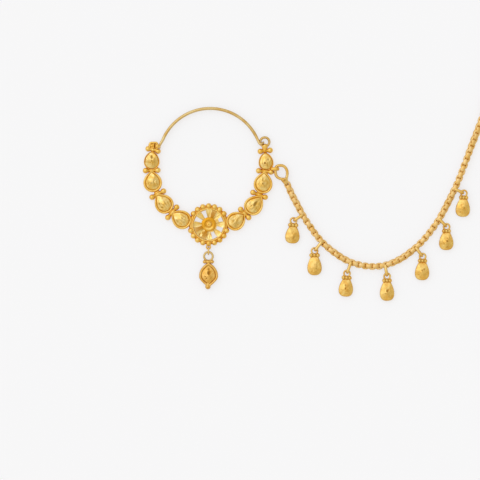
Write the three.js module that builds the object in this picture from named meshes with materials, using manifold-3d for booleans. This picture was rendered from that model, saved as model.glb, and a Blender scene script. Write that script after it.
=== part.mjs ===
// Gold bridal nose ring (nath) with a flower medallion, a pendant drop and a side chain with
// seven small drops. Millimetres, +Z up. It lies flat on its back: the hoop and the chain are
// spread in the XY plane, with every flat back on z = 0.
import * as THREE from 'three';
import { mergeVertices } from 'three/addons/utils/BufferGeometryUtils.js';
import { ConvexGeometry } from 'three/addons/geometries/ConvexGeometry.js';
import Module from 'manifold-3d';

const wasm = await Module();
wasm.setup();

// Driving dimensions. The drawing origin is the centre of the decorated lower arc.
const gap = 0.14; // clearance between pieces that are not soldered
const linkZ = 0.95; // height of the axis of every lying loop, link and chain
const backWire = { radius: 16.9, wire: 0.42, z: 0.43, left: [163, 254.5], right: [285.5, 375.5] };
const collet = { height: 1.5, floor: 0.95, wall: 0.55, thinWall: 0.34 };
const pearTop = { girdle: 1.45, table: 2.2, tableScale: 0.5 };
const granule = { radius: 0.78, z: 0.8, bar: 0.55 };
const medallion = { radius: 16.9, angle: 270, rim: 4.95, bore: 4.35, ledge: 3.95, ledgeTop: 0.55,
  height: 1.4, granules: 20, granuleCircle: 5.42, granuleRadius: 0.72 };
const flowerSize = { petals: 8, petalMiddle: 2.72, petalLength: 1.42, petalWidth: 0.92,
  petalThick: 0.34, petalLift: 0.2, z: 1.1 };
const hoopWireSize = { centreX: 0.46, centreY: 1.86, radius: 14.94, wire: 0.45, z: 1.1,
  from: 163, to: 25, heelX: -14.1, heelY: 6.28 };
const hingeEye = { x: -15.975, y: 5.9, halfX: 1.125, halfY: 0.96, corner: 0.45, wire: 0.3, z: 1.1 };
const hingeBead = 0.55;
const hingeKnob = { x: -16.42, y: 6.0, radius: 0.54 };
const hingeCoil = { radius: 0.66, wire: 0.18, turns: 3, pitch: 0.36, tail: 0.25, tailLength: 1.15 };
const catchRing = { x: 16.27, y: 7.05, radius: 1.3, wire: 0.31, z: 0.9 };
const catchCap = { tip: 0.5, widest: 0.88, foot: 0.68, top: 6.5, middle: 5.9, bottom: 4.4 };
const catchTip = 0.33; // radius of the thinned end of the hoop wire
const sideLoop = { x: 19.15, y: -0.75, corner: 0.82, halfX: 1.05, wire: 0.3, z: 1.17 };
const pendant = { x: -0.07, loopY: -23.38, loopRadius: 0.56, loopWire: 0.18, linkWire: 0.22,
  linkHalf: 0.66, eyeY: -26.07, eyeRadius: 1.26, eyeWire: 0.3, topY: -27.75, widestY: -31.8,
  tipY: -34.9, width: 5.55, lean: 0.04, neckBead: 0.52, neckX: 1.15, tipBead: 0.66, tipX: -0.25 };
const chainHookSize = { wire: 0.38, neckTop: 0.82, neckFoot: 0.5 };
const chainSize = { radius: 0.92, sides: 8, steps: 44 };
const link = { wire: 0.27, halfHeight: 0.66, hold: 0.15 };
const dropSize = { eyeRadius: 0.88, eyeWire: 0.26, capY: -1.24, beadX: 1.22, bodyTop: -1.5,
  bodyBottom: -6.95, bodyWidth: 4.2, bodyThick: 2.0, bead: 0.42, cap: 0.5 };
const hairHook = { wire: 0.45, eyeRadius: 1.2 };

// The eight pears on the arc: the middle of the round end, the way the tip points, its reach
// from there, and the width. The tips point away from the medallion.
const pears = [
  { name: 'pear_left_1', angle: 175.0, radius: 16.65, heading: 87, reach: 2.75, width: 4.15, small: true },
  { name: 'pear_left_2', angle: 196.4, radius: 16.9, heading: 95.5, reach: 3.8, width: 5.45, small: false },
  { name: 'pear_left_3', angle: 220.7, radius: 16.9, heading: 129, reach: 3.95, width: 5.4, small: false },
  { name: 'pear_left_4', angle: 243.7, radius: 17.3, heading: 144.5, reach: 4.0, width: 5.4, small: false },
  { name: 'pear_right_4', angle: 295.8, radius: 17.7, heading: 39.5, reach: 3.85, width: 5.4, small: false },
  { name: 'pear_right_3', angle: 318.1, radius: 17.3, heading: 50, reach: 4.1, width: 5.4, small: false },
  { name: 'pear_right_2', angle: 341.7, radius: 16.6, heading: 82.5, reach: 3.95, width: 5.5, small: false },
  { name: 'pear_right_1', angle: 4.0, radius: 16.65, heading: 96, reach: 2.8, width: 4.15, small: true },
];

// Pairs of granules between the pears: one inside and one outside the arc, and how far the bar
// between them is turned from pointing at the arc's centre.
const granulePairs = [
  { angle: 163.5, radius: 16.8, spread: 1.46, turn: 3 },
  { angle: 184.0, radius: 16.55, spread: 1.77, turn: -2.1 },
  { angle: 208.6, radius: 16.78, spread: 1.87, turn: -0.8 },
  { angle: 231.6, radius: 16.98, spread: 1.95, turn: -1.9 },
  { angle: 307.4, radius: 17.17, spread: 1.66, turn: 6.8 },
  { angle: 330.6, radius: 16.76, spread: 1.91, turn: 8.5 },
  { angle: 355.0, radius: 16.35, spread: 1.79, turn: -0.6 },
  { angle: 15.4, radius: 17.0, spread: 1.42, turn: -9.4 },
];
const coveredGranules = [0, 18, 162, 180]; // under a pear

// The chain's route from the hook to its outer end, as it lies.
const chainRoute = [
  { x: 22.87, y: -5.32 },
  { x: 24.25, y: -8.4 },
  { x: 25.9, y: -11.5 },
  { x: 27.5, y: -14.5 },
  { x: 29.4, y: -17.4 },
  { x: 31.4, y: -20.2 },
  { x: 33.8, y: -22.8 },
  { x: 36.5, y: -25.0 },
  { x: 39.4, y: -26.9 },
  { x: 42.6, y: -28.2 },
  { x: 46.0, y: -28.9 },
  { x: 49.5, y: -28.9 },
  { x: 52.8, y: -28.1 },
  { x: 55.9, y: -26.6 },
  { x: 58.7, y: -24.6 },
  { x: 61.3, y: -22.3 },
  { x: 63.6, y: -19.7 },
  { x: 65.7, y: -16.9 },
  { x: 67.5, y: -14.0 },
  { x: 69.9, y: -9.4 },
  { x: 72.1, y: -4.7 },
  { x: 74.0, y: 0.1 },
  { x: 75.8, y: 5.0 },
  { x: 77.7, y: 9.9 },
  { x: 80.1, y: 16.6 },
];

// The seven drops: distance along the chain, direction of the jump ring and its reach, how far
// the drop is turned about its eye, and its length against the others.
const drops = [
  { along: 9.75, lean: 213.4, reach: 3.18, turn: -4, size: 0.944 },
  { along: 19.3, lean: 232.4, reach: 3.44, turn: 0, size: 1.014 },
  { along: 29.7, lean: 250.7, reach: 3.49, turn: -4, size: 0.971 },
  { along: 39.8, lean: 279.8, reach: 3.28, turn: 0, size: 1.026 },
  { along: 50.15, lean: 307.1, reach: 3.3, turn: -2, size: 0.986 },
  { along: 60.9, lean: 312.9, reach: 3.13, turn: -1, size: 0.973 },
  { along: 70.7, lean: 333.9, reach: 2.97, turn: -4, size: 0.984 },
];

const gold = { polished: '#e2a63a', faceted: '#e8b04a', wire: '#dba037', chain: '#d99b33' };

function degrees(angle) {
  return THREE.MathUtils.degToRad(angle);
}

function polar(radius, angle) {
  return { x: radius * Math.cos(degrees(angle)), y: radius * Math.sin(degrees(angle)) };
}

function toSolid(geometry) {
  const bare = geometry.clone();
  bare.deleteAttribute('normal');
  bare.deleteAttribute('uv');
  const merged = mergeVertices(bare, 1e-5);
  const mesh = new wasm.Mesh({
    numProp: 3,
    vertProperties: new Float32Array(merged.attributes.position.array),
    triVerts: new Uint32Array(merged.index.array),
  });
  return new wasm.Manifold(mesh);
}

function toGeometry(solid) {
  const mesh = solid.getMesh();
  const geometry = new THREE.BufferGeometry();
  geometry.setAttribute('position', new THREE.BufferAttribute(mesh.vertProperties, 3));
  geometry.setIndex(new THREE.BufferAttribute(mesh.triVerts, 1));
  return geometry;
}

function join(geometries) {
  return geometries.map(toSolid).reduce((whole, piece) => whole.add(piece));
}

function place(geometry, x, y, z, turn = 0) {
  return geometry.rotateZ(degrees(turn)).translate(x, y, z);
}

function polygon(radius, sides) {
  const corners = [];
  for (let i = 0; i < sides; i += 1) {
    const angle = (2 * Math.PI * (i + 0.5)) / sides;
    corners.push(new THREE.Vector2(radius * Math.cos(angle), radius * Math.sin(angle)));
  }
  return new THREE.Shape(corners);
}

function ball(radius, x, y, z) {
  return new THREE.SphereGeometry(radius, 7, 5).rotateX(Math.PI / 2).translate(x, y, z);
}

function rod(radius, length, sides = 8) {
  return new THREE.CylinderGeometry(radius, radius, length, sides); // along Y
}

// A wire along a curve, with flat ends.
function wireAlong(curve, radius, steps, sides) {
  return new THREE.ExtrudeGeometry(polygon(radius, sides), {
    steps,
    extrudePath: curve,
    bevelEnabled: false,
  });
}

// A closed wire loop in the XY plane: a circle of the corner radius pulled out into a rounded
// rectangle whose straight sides add stretchX and stretchY.
function wireLoop(corner, wire, stretchX = 0, stretchY = 0, sides = 6) {
  const loop = new THREE.TorusGeometry(corner, wire, sides, 12).rotateZ(Math.PI / 12);
  const points = loop.attributes.position;
  for (let i = 0; i < points.count; i += 1) {
    points.setX(i, points.getX(i) + (Math.sign(points.getX(i)) * stretchX) / 2);
    points.setY(i, points.getY(i) + (Math.sign(points.getY(i)) * stretchY) / 2);
  }
  return loop;
}

function slab(shape, bottom, top, curveSegments) {
  const options = { depth: top - bottom, bevelEnabled: false, curveSegments };
  return new THREE.ExtrudeGeometry(shape, options).translate(0, 0, bottom);
}

// Pear outline about the middle of its round end, with its tip on +X.
function pearOutline(pear, inset = 0) {
  const half = pear.width / 2 - inset;
  const tip = pear.reach - 1.25 * inset;
  const flank = pear.small ? [0.12, 0.5] : [0.3, 0.36]; // a small pear has fuller shoulders
  const shoulder = tip - flank[0] * half;
  const outline = new THREE.Shape();
  outline.moveTo(tip, 0);
  outline.bezierCurveTo(shoulder, flank[1] * half, 0.5 * tip, half, 0, half);
  outline.absarc(0, 0, half, Math.PI / 2, 1.5 * Math.PI, false);
  outline.bezierCurveTo(0.5 * tip, -half, shoulder, -flank[1] * half, tip, 0);
  return outline;
}

// Almond outline of the pendant, point up and point down, with its widest line at y = 0.
function almondOutline(inset = 0) {
  const half = pendant.width / 2 - inset;
  const top = pendant.topY - pendant.widestY - 1.3 * inset;
  const bottom = pendant.tipY - pendant.widestY + 1.3 * inset;
  const outline = new THREE.Shape();
  outline.moveTo(0, top);
  outline.bezierCurveTo(-0.55 * half, 0.6 * top, -half, 0.35 * top, -half, 0);
  outline.bezierCurveTo(-half, 0.45 * bottom, -0.5 * half, 0.75 * bottom, 0, bottom);
  outline.bezierCurveTo(0.5 * half, 0.75 * bottom, half, 0.45 * bottom, half, 0);
  outline.bezierCurveTo(half, 0.35 * top, 0.55 * half, 0.6 * top, 0, top);
  return outline;
}

// A cut gold dome over an outline: a straight girdle, then facets up to a small table.
function facetedDome(outline, bottom, scaleAt) {
  const rim = outline.getSpacedPoints(14);
  const table = outline.getSpacedPoints(7);
  const points = [];
  for (const corner of rim) {
    points.push(new THREE.Vector3(corner.x, corner.y, bottom));
    points.push(new THREE.Vector3(corner.x, corner.y, pearTop.girdle));
  }
  for (const corner of table) {
    points.push(new THREE.Vector3(corner.x * scaleAt, corner.y * scaleAt, pearTop.table));
  }
  return new ConvexGeometry(points);
}

function goldMaterial(colour, roughness) {
  return new THREE.MeshStandardMaterial({ color: colour, roughness, metalness: 1 });
}

const nath = new THREE.Group();

function addPiece(name, geometry, colour = gold.polished, roughness = 0.25) {
  const mesh = new THREE.Mesh(geometry, goldMaterial(colour, roughness));
  mesh.name = name;
  nath.add(mesh);
  return mesh;
}

// ---- the soldered frame: collets, granules, medallion rim and the loops at its ends ----

function colletBody(pear) {
  const centre = polar(pear.radius, pear.angle);
  const outer = slab(pearOutline(pear), 0, collet.height, 5);
  return place(outer, centre.x, centre.y, 0, pear.heading);
}

function colletPocket(pear) {
  const centre = polar(pear.radius, pear.angle);
  const wall = pear.small ? collet.thinWall : collet.wall;
  const pocket = slab(pearOutline(pear, wall), collet.floor, collet.height + 1, 5);
  return place(pocket, centre.x, centre.y, 0, pear.heading);
}

function granulePair(pair) {
  const middle = polar(pair.radius, pair.angle);
  const way = polar(pair.spread, pair.angle + pair.turn);
  const bar = rod(granule.bar, 2 * pair.spread);
  return [
    ball(granule.radius, middle.x - way.x, middle.y - way.y, granule.z),
    ball(granule.radius, middle.x + way.x, middle.y + way.y, granule.z),
    place(bar, middle.x, middle.y, granule.z, pair.angle + pair.turn - 90),
  ];
}

function backWireArc([from, to]) {
  const points = [];
  for (let step = 0; step <= 12; step += 1) {
    const at = polar(backWire.radius, from + ((to - from) * step) / 12);
    points.push(new THREE.Vector3(at.x, at.y, backWire.z));
  }
  return wireAlong(new THREE.CatmullRomCurve3(points), backWire.wire, 16, 6);
}

const medallionCentre = polar(medallion.radius, medallion.angle);

function disc(radius, bottom, top, sides = 32) {
  const plate = slab(polygon(radius, sides), bottom, top, 1);
  return place(plate, medallionCentre.x, medallionCentre.y, 0);
}

function medallionGranules() {
  const pitch = 360 / medallion.granules;
  const beads = [];
  for (let i = 0; i < medallion.granules; i += 1) {
    if (coveredGranules.includes(i * pitch)) continue;
    const at = polar(medallion.granuleCircle, i * pitch);
    const x = medallionCentre.x + at.x;
    beads.push(ball(medallion.granuleRadius, x, medallionCentre.y + at.y, granule.z));
  }
  return beads;
}

// The loop at the left end that the hoop wire turns on, and the beads that it is soldered to.
function leftEnd() {
  const { corner, halfX, halfY, wire } = hingeEye;
  const loop = wireLoop(corner, wire, 2 * (halfX - corner), 2 * (halfY - corner), 8);
  return [
    place(loop, hingeEye.x, hingeEye.y, hingeEye.z),
    ball(hingeBead, hingeEye.x - 0.15, hingeEye.y - halfY - 0.12, linkZ),
    ball(hingeKnob.radius, hingeKnob.x, hingeKnob.y, hingeEye.z),
  ];
}

// The ring at the right end that catches the hoop wire, and the bud-shaped cap that it stands on.
function rightEnd() {
  const ring = new THREE.TorusGeometry(catchRing.radius, catchRing.wire, 6, 16);
  const { tip, widest, foot, top, middle, bottom } = catchCap;
  const bud = [[0, bottom], [foot, bottom], [widest, middle], [tip, top], [0, top]];
  const cap = new THREE.LatheGeometry(bud.map(([r, y]) => new THREE.Vector2(r, y)), 8);
  return [
    place(ring, catchRing.x, catchRing.y, catchRing.z),
    cap.translate(catchRing.x, 0, catchRing.z),
  ];
}

// An oval loop that stands on edge beside the arc. The chain's hook hangs in it.
function sideLoopRing() {
  const { corner, halfX, wire } = sideLoop;
  const ring = wireLoop(corner, wire, 2 * (halfX - corner), 0).rotateX(Math.PI / 2);
  return place(ring, sideLoop.x, sideLoop.y, sideLoop.z);
}

function pendantLoop() {
  const loop = new THREE.TorusGeometry(pendant.loopRadius, pendant.loopWire, 6, 12);
  return place(loop, pendant.x, pendant.loopY, linkZ);
}

function hoopFrame() {
  const soldered = join([
    ...pears.map(colletBody),
    ...granulePairs.flatMap(granulePair),
    backWireArc(backWire.left),
    backWireArc(backWire.right),
    ...medallionGranules(),
    ...leftEnd(),
    ...rightEnd(),
    sideLoopRing(),
    disc(medallion.rim, 0, medallion.height),
  ]);
  const pockets = pears.map((pear) => toSolid(colletPocket(pear)));
  const opened = pockets.reduce((solid, pocket) => solid.subtract(pocket), soldered);
  return opened
    .subtract(toSolid(disc(medallion.bore, medallion.ledgeTop, medallion.height + 1)))
    .subtract(toSolid(disc(medallion.ledge, -1, medallion.height + 1)))
    .add(toSolid(pendantLoop()));
}

addPiece('hoop_frame', toGeometry(hoopFrame()));

for (const pear of pears) {
  const wall = (pear.small ? collet.thinWall : collet.wall) + gap;
  const dome = facetedDome(pearOutline(pear, wall), collet.floor + gap,
    pearTop.tableScale);
  const mesh = addPiece(pear.name, dome, gold.faceted, 0.2);
  const centre = polar(pear.radius, pear.angle);
  mesh.position.set(centre.x, centre.y, 0);
  mesh.rotation.z = degrees(pear.heading);
}

// ---- the flower in the medallion ----

function petal(index) {
  const { petalLength, petalWidth, petalThick, petalMiddle, petalLift } = flowerSize;
  return new THREE.SphereGeometry(1, 8, 5)
    .scale(petalLength, petalWidth, petalThick)
    .rotateY(-petalLift)
    .translate(petalMiddle, 0, 0)
    .rotateZ((2 * Math.PI * index) / flowerSize.petals);
}

function flowerCup() {
  const profile = [[0, -0.4], [1.0, -0.4], [1.9, 0.05], [1.95, 0.3], [1.6, 0.25], [1.1, -0.05],
    [0, -0.15]];
  return new THREE.LatheGeometry(profile.map(([r, z]) => new THREE.Vector2(r, z)), 16)
    .rotateX(Math.PI / 2);
}

function flower() {
  const pieces = [flowerCup()];
  for (let i = 0; i < flowerSize.petals; i += 1) pieces.push(petal(i));
  return join(pieces);
}

const bloom = addPiece('flower', toGeometry(flower()));
bloom.position.set(medallionCentre.x, medallionCentre.y, flowerSize.z);

// The turned boss in the middle of the flower: a beaded ring with a ball in it.
const bossProfile = [[0, 0], [0.75, 0.05], [1.0, 0.25], [1.0, 0.42], [0.85, 0.5], [0.7, 0.38],
  [0.58, 0.42], [0.5, 0.72], [0.28, 0.9], [0, 0.96]];
const boss = new THREE.LatheGeometry(bossProfile.map(([r, z]) => new THREE.Vector2(r, z)), 14)
  .rotateX(Math.PI / 2);
const bossMesh = addPiece('flower_centre', boss);
bossMesh.position.set(medallionCentre.x, medallionCentre.y, flowerSize.z + 0.02);

// ---- the hoop wire: it turns on the left loop and drops into the right ring ----

function hoopArc() {
  const { centreX, centreY, radius, from, to, z, heelX, heelY } = hoopWireSize;
  const points = [new THREE.Vector3(heelX, heelY, z)];
  for (let step = 1; step <= 30; step += 1) {
    const at = polar(radius, from + ((to - from) * step) / 30);
    points.push(new THREE.Vector3(centreX + at.x, centreY + at.y, z));
  }
  return wireAlong(new THREE.CatmullRomCurve3(points), hoopWireSize.wire, 36, 8);
}

function hingeRings() {
  const x = hingeEye.x + hingeEye.halfX;
  const { radius, wire, turns, pitch, tail, tailLength } = hingeCoil;
  const rings = [];
  for (let turn = 0; turn < turns; turn += 1) {
    const y = hingeEye.y + (turn - (turns - 1) / 2) * pitch;
    const ring = new THREE.TorusGeometry(radius, wire, 6, 14).rotateX(Math.PI / 2);
    rings.push(ring.translate(x, y, hingeEye.z));
  }
  return [...rings, rod(tail, tailLength).translate(x + radius, hingeEye.y, hingeEye.z)];
}

// The thinned end that rises over the catch ring's left side and dips into it.
function catchEnd() {
  const { x, y, radius } = catchRing;
  const limb = x - radius;
  const start = polar(hoopWireSize.radius, hoopWireSize.to + 1.5);
  const points = [
    new THREE.Vector3(hoopWireSize.centreX + start.x, hoopWireSize.centreY + start.y, hoopWireSize.z),
    new THREE.Vector3(limb - 0.62, y + 0.35, 1.45),
    new THREE.Vector3(limb - 0.28, y - 0.27, 1.7),
    new THREE.Vector3(limb + 0.18, y - 0.4, 1.74),
    new THREE.Vector3(limb + 0.7, y - 0.18, 1.42),
    new THREE.Vector3(limb + 0.86, y - 0.07, 0.4),
  ];
  return wireAlong(new THREE.CatmullRomCurve3(points), catchTip, 14, 8);
}

const hoopWire = join([hoopArc(), ...hingeRings(), catchEnd()]);
addPiece('hoop_wire', toGeometry(hoopWire), gold.wire, 0.22);

// ---- the pendant ----

function pendantSetting() {
  const { x, eyeY, eyeRadius, eyeWire, widestY, topY, tipY, tipX, lean, neckBead, neckX } = pendant;
  const eye = new THREE.TorusGeometry(eyeRadius, eyeWire, 6, 16).translate(x, eyeY, linkZ);
  const body = slab(almondOutline(), 0, collet.height, 6).translate(x + lean, widestY, 0);
  const beads = [
    ball(neckBead, x - neckX, topY + 0.15, linkZ),
    ball(neckBead, x + neckX, topY + 0.15, linkZ),
    ball(neckBead, x, topY - 0.1, linkZ),
    ball(pendant.tipBead, tipX, tipY, 0.75),
  ];
  const seat = rod(neckBead - 0.05, 2 * neckX).rotateZ(Math.PI / 2).translate(x, topY + 0.1, linkZ);
  const pocket = slab(almondOutline(collet.wall), collet.floor, collet.height + 1, 6);
  const solid = join([eye, body, seat, ...beads]);
  return solid.subtract(toSolid(pocket.translate(x + lean, widestY, 0)));
}

addPiece('pendant_setting', toGeometry(pendantSetting()));

const pendantDome = facetedDome(almondOutline(collet.wall + gap), collet.floor + gap, 0.45);
const pendantPear = addPiece('pendant_pear', pendantDome, gold.faceted, 0.2);
pendantPear.position.set(pendant.x + pendant.lean, pendant.widestY, 0);

// A long upright link: its length lies along +X until it is turned, and its middle is at 0.
function uprightLink(length, wire = link.wire, corner = link.halfHeight) {
  return wireLoop(corner, wire, length - 2 * corner, 0).rotateX(Math.PI / 2);
}

const pendantLinkEnds = {
  top: pendant.loopY - pendant.loopRadius + pendant.loopWire + gap + pendant.linkWire,
  bottom: pendant.eyeY + pendant.eyeRadius - pendant.eyeWire - gap - pendant.linkWire,
};
const pendantLink = addPiece('pendant_link', uprightLink(
  pendantLinkEnds.top - pendantLinkEnds.bottom, pendant.linkWire, pendant.linkHalf), gold.wire);
pendantLink.position.set(pendant.x, (pendantLinkEnds.top + pendantLinkEnds.bottom) / 2, linkZ);
pendantLink.rotation.z = Math.PI / 2;

// ---- the side chain: its hook, the chain, and the drops on their jump rings ----

// A drop-shaped ring that passes through the side loop, with a tapering neck to the chain.
function chainHook() {
  const { wire, neckTop, neckFoot } = chainHookSize;
  const limb = [[22.6, -3.3, 1.0], [22.78, -2.3, 1.07], [22.68, -1.2, 1.12], [22.2, -0.3, 1.14],
    [21.45, 0.2, 1.15], [20.75, 0.27, 1.16], [20.12, 0.2, 1.17], [19.62, -0.12, 1.17],
    [19.39, -0.75, 1.17], [19.35, -1.6, 1.16], [19.52, -2.5, 1.12], [20.05, -3.2, 1.06],
    [20.9, -3.6, 1.0], [21.8, -3.65, 0.97]];
  const ring = new THREE.CatmullRomCurve3(limb.map(([x, y, z]) => new THREE.Vector3(x, y, z)));
  const neck = new THREE.CylinderGeometry(neckTop, neckFoot, 1.9, 8);
  return join([wireAlong(ring, wire, 40, 8), place(neck, 22.23, -4.2, linkZ, 17)]);
}

addPiece('chain_hook', toGeometry(chainHook()), gold.wire);

const chainCurve = new THREE.CatmullRomCurve3(
  chainRoute.map(({ x, y }) => new THREE.Vector3(x, y, linkZ)));
const chainLength = chainCurve.getLength();

function dropPlace(drop) {
  const onChain = chainCurve.getPointAt(drop.along / chainLength);
  const toward = polar(1, drop.lean);
  return { onChain, toward };
}

// A jump ring holds the chain at one end and the drop's eye at the other.
function jumpRing(drop, wire) {
  const far = drop.reach - dropSize.eyeRadius + dropSize.eyeWire + link.hold + link.wire;
  const near = -link.hold;
  const { onChain, toward } = dropPlace(drop);
  const middle = (near + far) / 2;
  return {
    geometry: uprightLink(far - near, wire),
    x: onChain.x + toward.x * middle,
    y: onChain.y + toward.y * middle,
  };
}

function chain() {
  const tube = toSolid(wireAlong(chainCurve, chainSize.radius, chainSize.steps, chainSize.sides));
  return drops.reduce((solid, drop) => {
    const ring = jumpRing(drop, link.wire + gap);
    return solid.subtract(toSolid(place(ring.geometry, ring.x, ring.y, linkZ, drop.lean)));
  }, tube);
}

addPiece('chain', toGeometry(chain()), gold.chain, 0.35);

function dropBody(size) {
  const { bodyTop, bodyWidth, bodyThick } = dropSize;
  const bodyBottom = dropSize.bodyBottom * size;
  const height = bodyTop - bodyBottom;
  const outline = [[0, 0], [0.22, 0.02], [0.39, 0.11], [0.48, 0.25], [0.5, 0.4], [0.475, 0.56],
    [0.42, 0.73], [0.35, 0.88], [0.3, 0.96], [0, 1]];
  const profile = outline.map(([r, h]) => new THREE.Vector2(r * bodyWidth, bodyBottom + h * height));
  return new THREE.LatheGeometry(profile, 10)
    .scale(1, 1, bodyThick / bodyWidth)
    .translate(0, 0, bodyThick / 2);
}

function dropSolid(size) {
  const { eyeRadius, eyeWire, capY, cap, beadX, bead } = dropSize;
  return join([
    dropBody(size),
    new THREE.TorusGeometry(eyeRadius, eyeWire, 6, 12).translate(0, 0, linkZ),
    rod(cap, 2 * beadX - bead, 6).rotateZ(Math.PI / 2).translate(0, capY, linkZ),
    ball(bead, -beadX, capY, linkZ),
    ball(bead, beadX, capY, linkZ),
  ]);
}

drops.forEach((drop, index) => {
  const ring = jumpRing(drop);
  const ringMesh = addPiece(`drop_link_${index + 1}`, ring.geometry, gold.wire);
  ringMesh.position.set(ring.x, ring.y, linkZ);
  ringMesh.rotation.z = degrees(drop.lean);
  const { onChain, toward } = dropPlace(drop);
  const body = addPiece(`drop_${index + 1}`, toGeometry(dropSolid(drop.size)), gold.faceted, 0.2);
  body.position.set(onChain.x + toward.x * drop.reach, onChain.y + toward.y * drop.reach, 0);
  body.rotation.z = degrees(drop.turn);
});

// ---- the plain hook for the hair at the chain's outer end ----

function hairHookSolid() {
  const { wire, eyeRadius } = hairHook;
  const bend = [[0, eyeRadius], [0, 4], [0.1, 7.5], [-0.6, 9.6], [-2.2, 9.9], [-3.0, 8.4],
    [-2.95, 6.2]];
  const curve = new THREE.CatmullRomCurve3(bend.map(([x, y]) => new THREE.Vector3(x, y, 0)));
  return join([
    new THREE.TorusGeometry(eyeRadius, wire, 6, 14),
    wireAlong(curve, wire, 18, 8),
  ]);
}

const chainEnd = chainCurve.getPointAt(1);
const chainHeading = chainCurve.getTangentAt(1);
const hookStart = hairHook.eyeRadius + hairHook.wire + 0.3;
const hook = addPiece('hair_hook', toGeometry(hairHookSolid()), gold.wire);
hook.position.set(chainEnd.x + chainHeading.x * hookStart, chainEnd.y + chainHeading.y * hookStart,
  linkZ);
hook.rotation.z = Math.atan2(chainHeading.y, chainHeading.x) - Math.PI / 2;

// The part's own origin is the bottom centre of its box.
const box = new THREE.Box3().setFromObject(nath, true);
const middle = box.getCenter(new THREE.Vector3());
nath.position.set(-middle.x, -middle.y, -box.min.z);
nath.updateMatrixWorld(true);

export default nath;
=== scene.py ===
import math

import bmesh
import bpy
from mathutils import Matrix, Vector, noise


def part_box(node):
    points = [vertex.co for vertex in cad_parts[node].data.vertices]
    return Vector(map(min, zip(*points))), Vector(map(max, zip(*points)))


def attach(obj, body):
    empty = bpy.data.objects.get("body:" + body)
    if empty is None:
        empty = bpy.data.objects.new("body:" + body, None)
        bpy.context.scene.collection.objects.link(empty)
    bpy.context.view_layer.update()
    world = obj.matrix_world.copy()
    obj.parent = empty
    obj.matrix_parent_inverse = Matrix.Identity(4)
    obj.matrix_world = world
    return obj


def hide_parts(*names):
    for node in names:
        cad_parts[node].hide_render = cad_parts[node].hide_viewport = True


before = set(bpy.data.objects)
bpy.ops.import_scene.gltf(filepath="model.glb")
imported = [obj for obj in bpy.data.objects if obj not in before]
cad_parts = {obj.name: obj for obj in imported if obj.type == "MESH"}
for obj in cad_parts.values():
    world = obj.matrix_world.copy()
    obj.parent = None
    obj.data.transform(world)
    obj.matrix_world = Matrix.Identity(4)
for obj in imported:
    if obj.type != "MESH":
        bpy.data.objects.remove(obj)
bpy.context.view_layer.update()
jewelBody, wireBody = "ring_and_chain", "wire"
print("frame loaded")

# Everything below is drawn in millimetres about the centre of the ornamented arc.
arcRadius = 16.9
medallionY = -arcRadius
linkZ = 0.95  # axis height of every lying loop and link
bossLow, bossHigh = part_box("flower_centre")
bossMiddle = (bossLow + bossHigh) / 2
drawing = (Matrix.Translation((bossMiddle.x, bossMiddle.y - medallionY * 0.001, 0))
           @ Matrix.Scale(0.001, 4))


def polar(radius, angle, z=0.0):
    turn = math.radians(angle)
    return Vector((radius * math.cos(turn), radius * math.sin(turn), z))


def shell():
    mesh = bmesh.new()
    # A vertex layer for painted shade, 0 to 1, that every gold finish reads.
    mesh.verts.layers.float.new("paintedShade")
    return mesh


def loft(mesh, rings, paintedShade=None, closed=False):
    # Skins a row of rings. The given list sets each ring's painted shade, 0 to 1, deepest in grooves and
    # joints.
    layer = mesh.verts.layers.float["paintedShade"]
    rows = []
    for i, ring in enumerate(rings):
        row = [mesh.verts.new(point) for point in ring]
        for vert in row:
            vert[layer] = paintedShade[i] if paintedShade else 0.0
        rows.append(row)
    count = len(rows[0])
    last = len(rows) if closed else len(rows) - 1
    for i in range(last):
        low, high = rows[i], rows[(i + 1) % len(rows)]
        for j in range(count):
            k = (j + 1) % count
            mesh.faces.new((low[j], low[k], high[k], high[j]))
    for row in [] if closed else [rows[0], rows[-1]]:  # an open skin gets its two ends
        tip = mesh.verts.new(sum((vert.co for vert in row), Vector()) / count)
        tip[layer] = row[0][layer]
        for j in range(count):
            mesh.faces.new((row[j], row[(j + 1) % count], tip))


def frames(path, closed):
    # A side and an up direction at each point of a path, carried along it without twist.
    count = len(path)
    axes = []
    normal = Vector((0, 0, 1))
    for i, point in enumerate(path):
        before = path[i - 1] if i or closed else point
        after = path[(i + 1) % count] if i < count - 1 or closed else point
        tangent = (after - before).normalized()
        normal = (normal - tangent * normal.dot(tangent)).normalized()
        axes.append((tangent.cross(normal), normal))
    return axes


def tube(mesh, path, radius, sides=16, closed=False, paintedShade=None):
    # A wire along a path; radius is a number or a function of the place along it, 0 to 1.
    path = [Vector(point) for point in path]
    axes = frames(path, closed)
    size = radius if callable(radius) else (lambda place: radius)
    turns = [2 * math.pi * j / sides for j in range(sides)]
    rings, levels = [], []
    for i, (point, (side, up)) in enumerate(zip(path, axes)):
        place = i / (len(path) - 1)
        rings.append([point + size(place) * (side * math.cos(turn) + up * math.sin(turn))
                      for turn in turns])
        levels.append(paintedShade(place) if paintedShade else 0.0)
    if not closed:
        for end, at in ((0, 0.0), (-1, 1.0)):
            point, (side, up) = path[end], axes[end]
            out = (path[0] - path[1] if end == 0 else path[-1] - path[-2]).normalized()
            for lift, shrink in ((0.45, 0.89), (0.78, 0.62), (0.95, 0.3)):
                ring = [point + out * size(at) * lift + size(at) * shrink
                        * (side * math.cos(turn) + up * math.sin(turn)) for turn in turns]
                if end == 0:
                    rings.insert(0, ring)
                    levels.insert(0, levels[0])
                else:
                    rings.append(ring)
                    levels.append(levels[-1])
    loft(mesh, rings, levels, closed)


def lathe(mesh, profile, centre=(0, 0, 0), axis=(0, 0, 1), sides=32, closed=False):
    # Turns rows of (distance along the axis, radius, painted shade) round an axis through the centre.
    turn = Vector((0, 0, 1)).rotation_difference(Vector(axis))
    rings = [[Vector(centre) + turn @ polar(radius, 360 * j / sides, along) for j in range(sides)]
             for along, radius, _ in profile]
    loft(mesh, rings, [row[2] for row in profile], closed)


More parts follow.
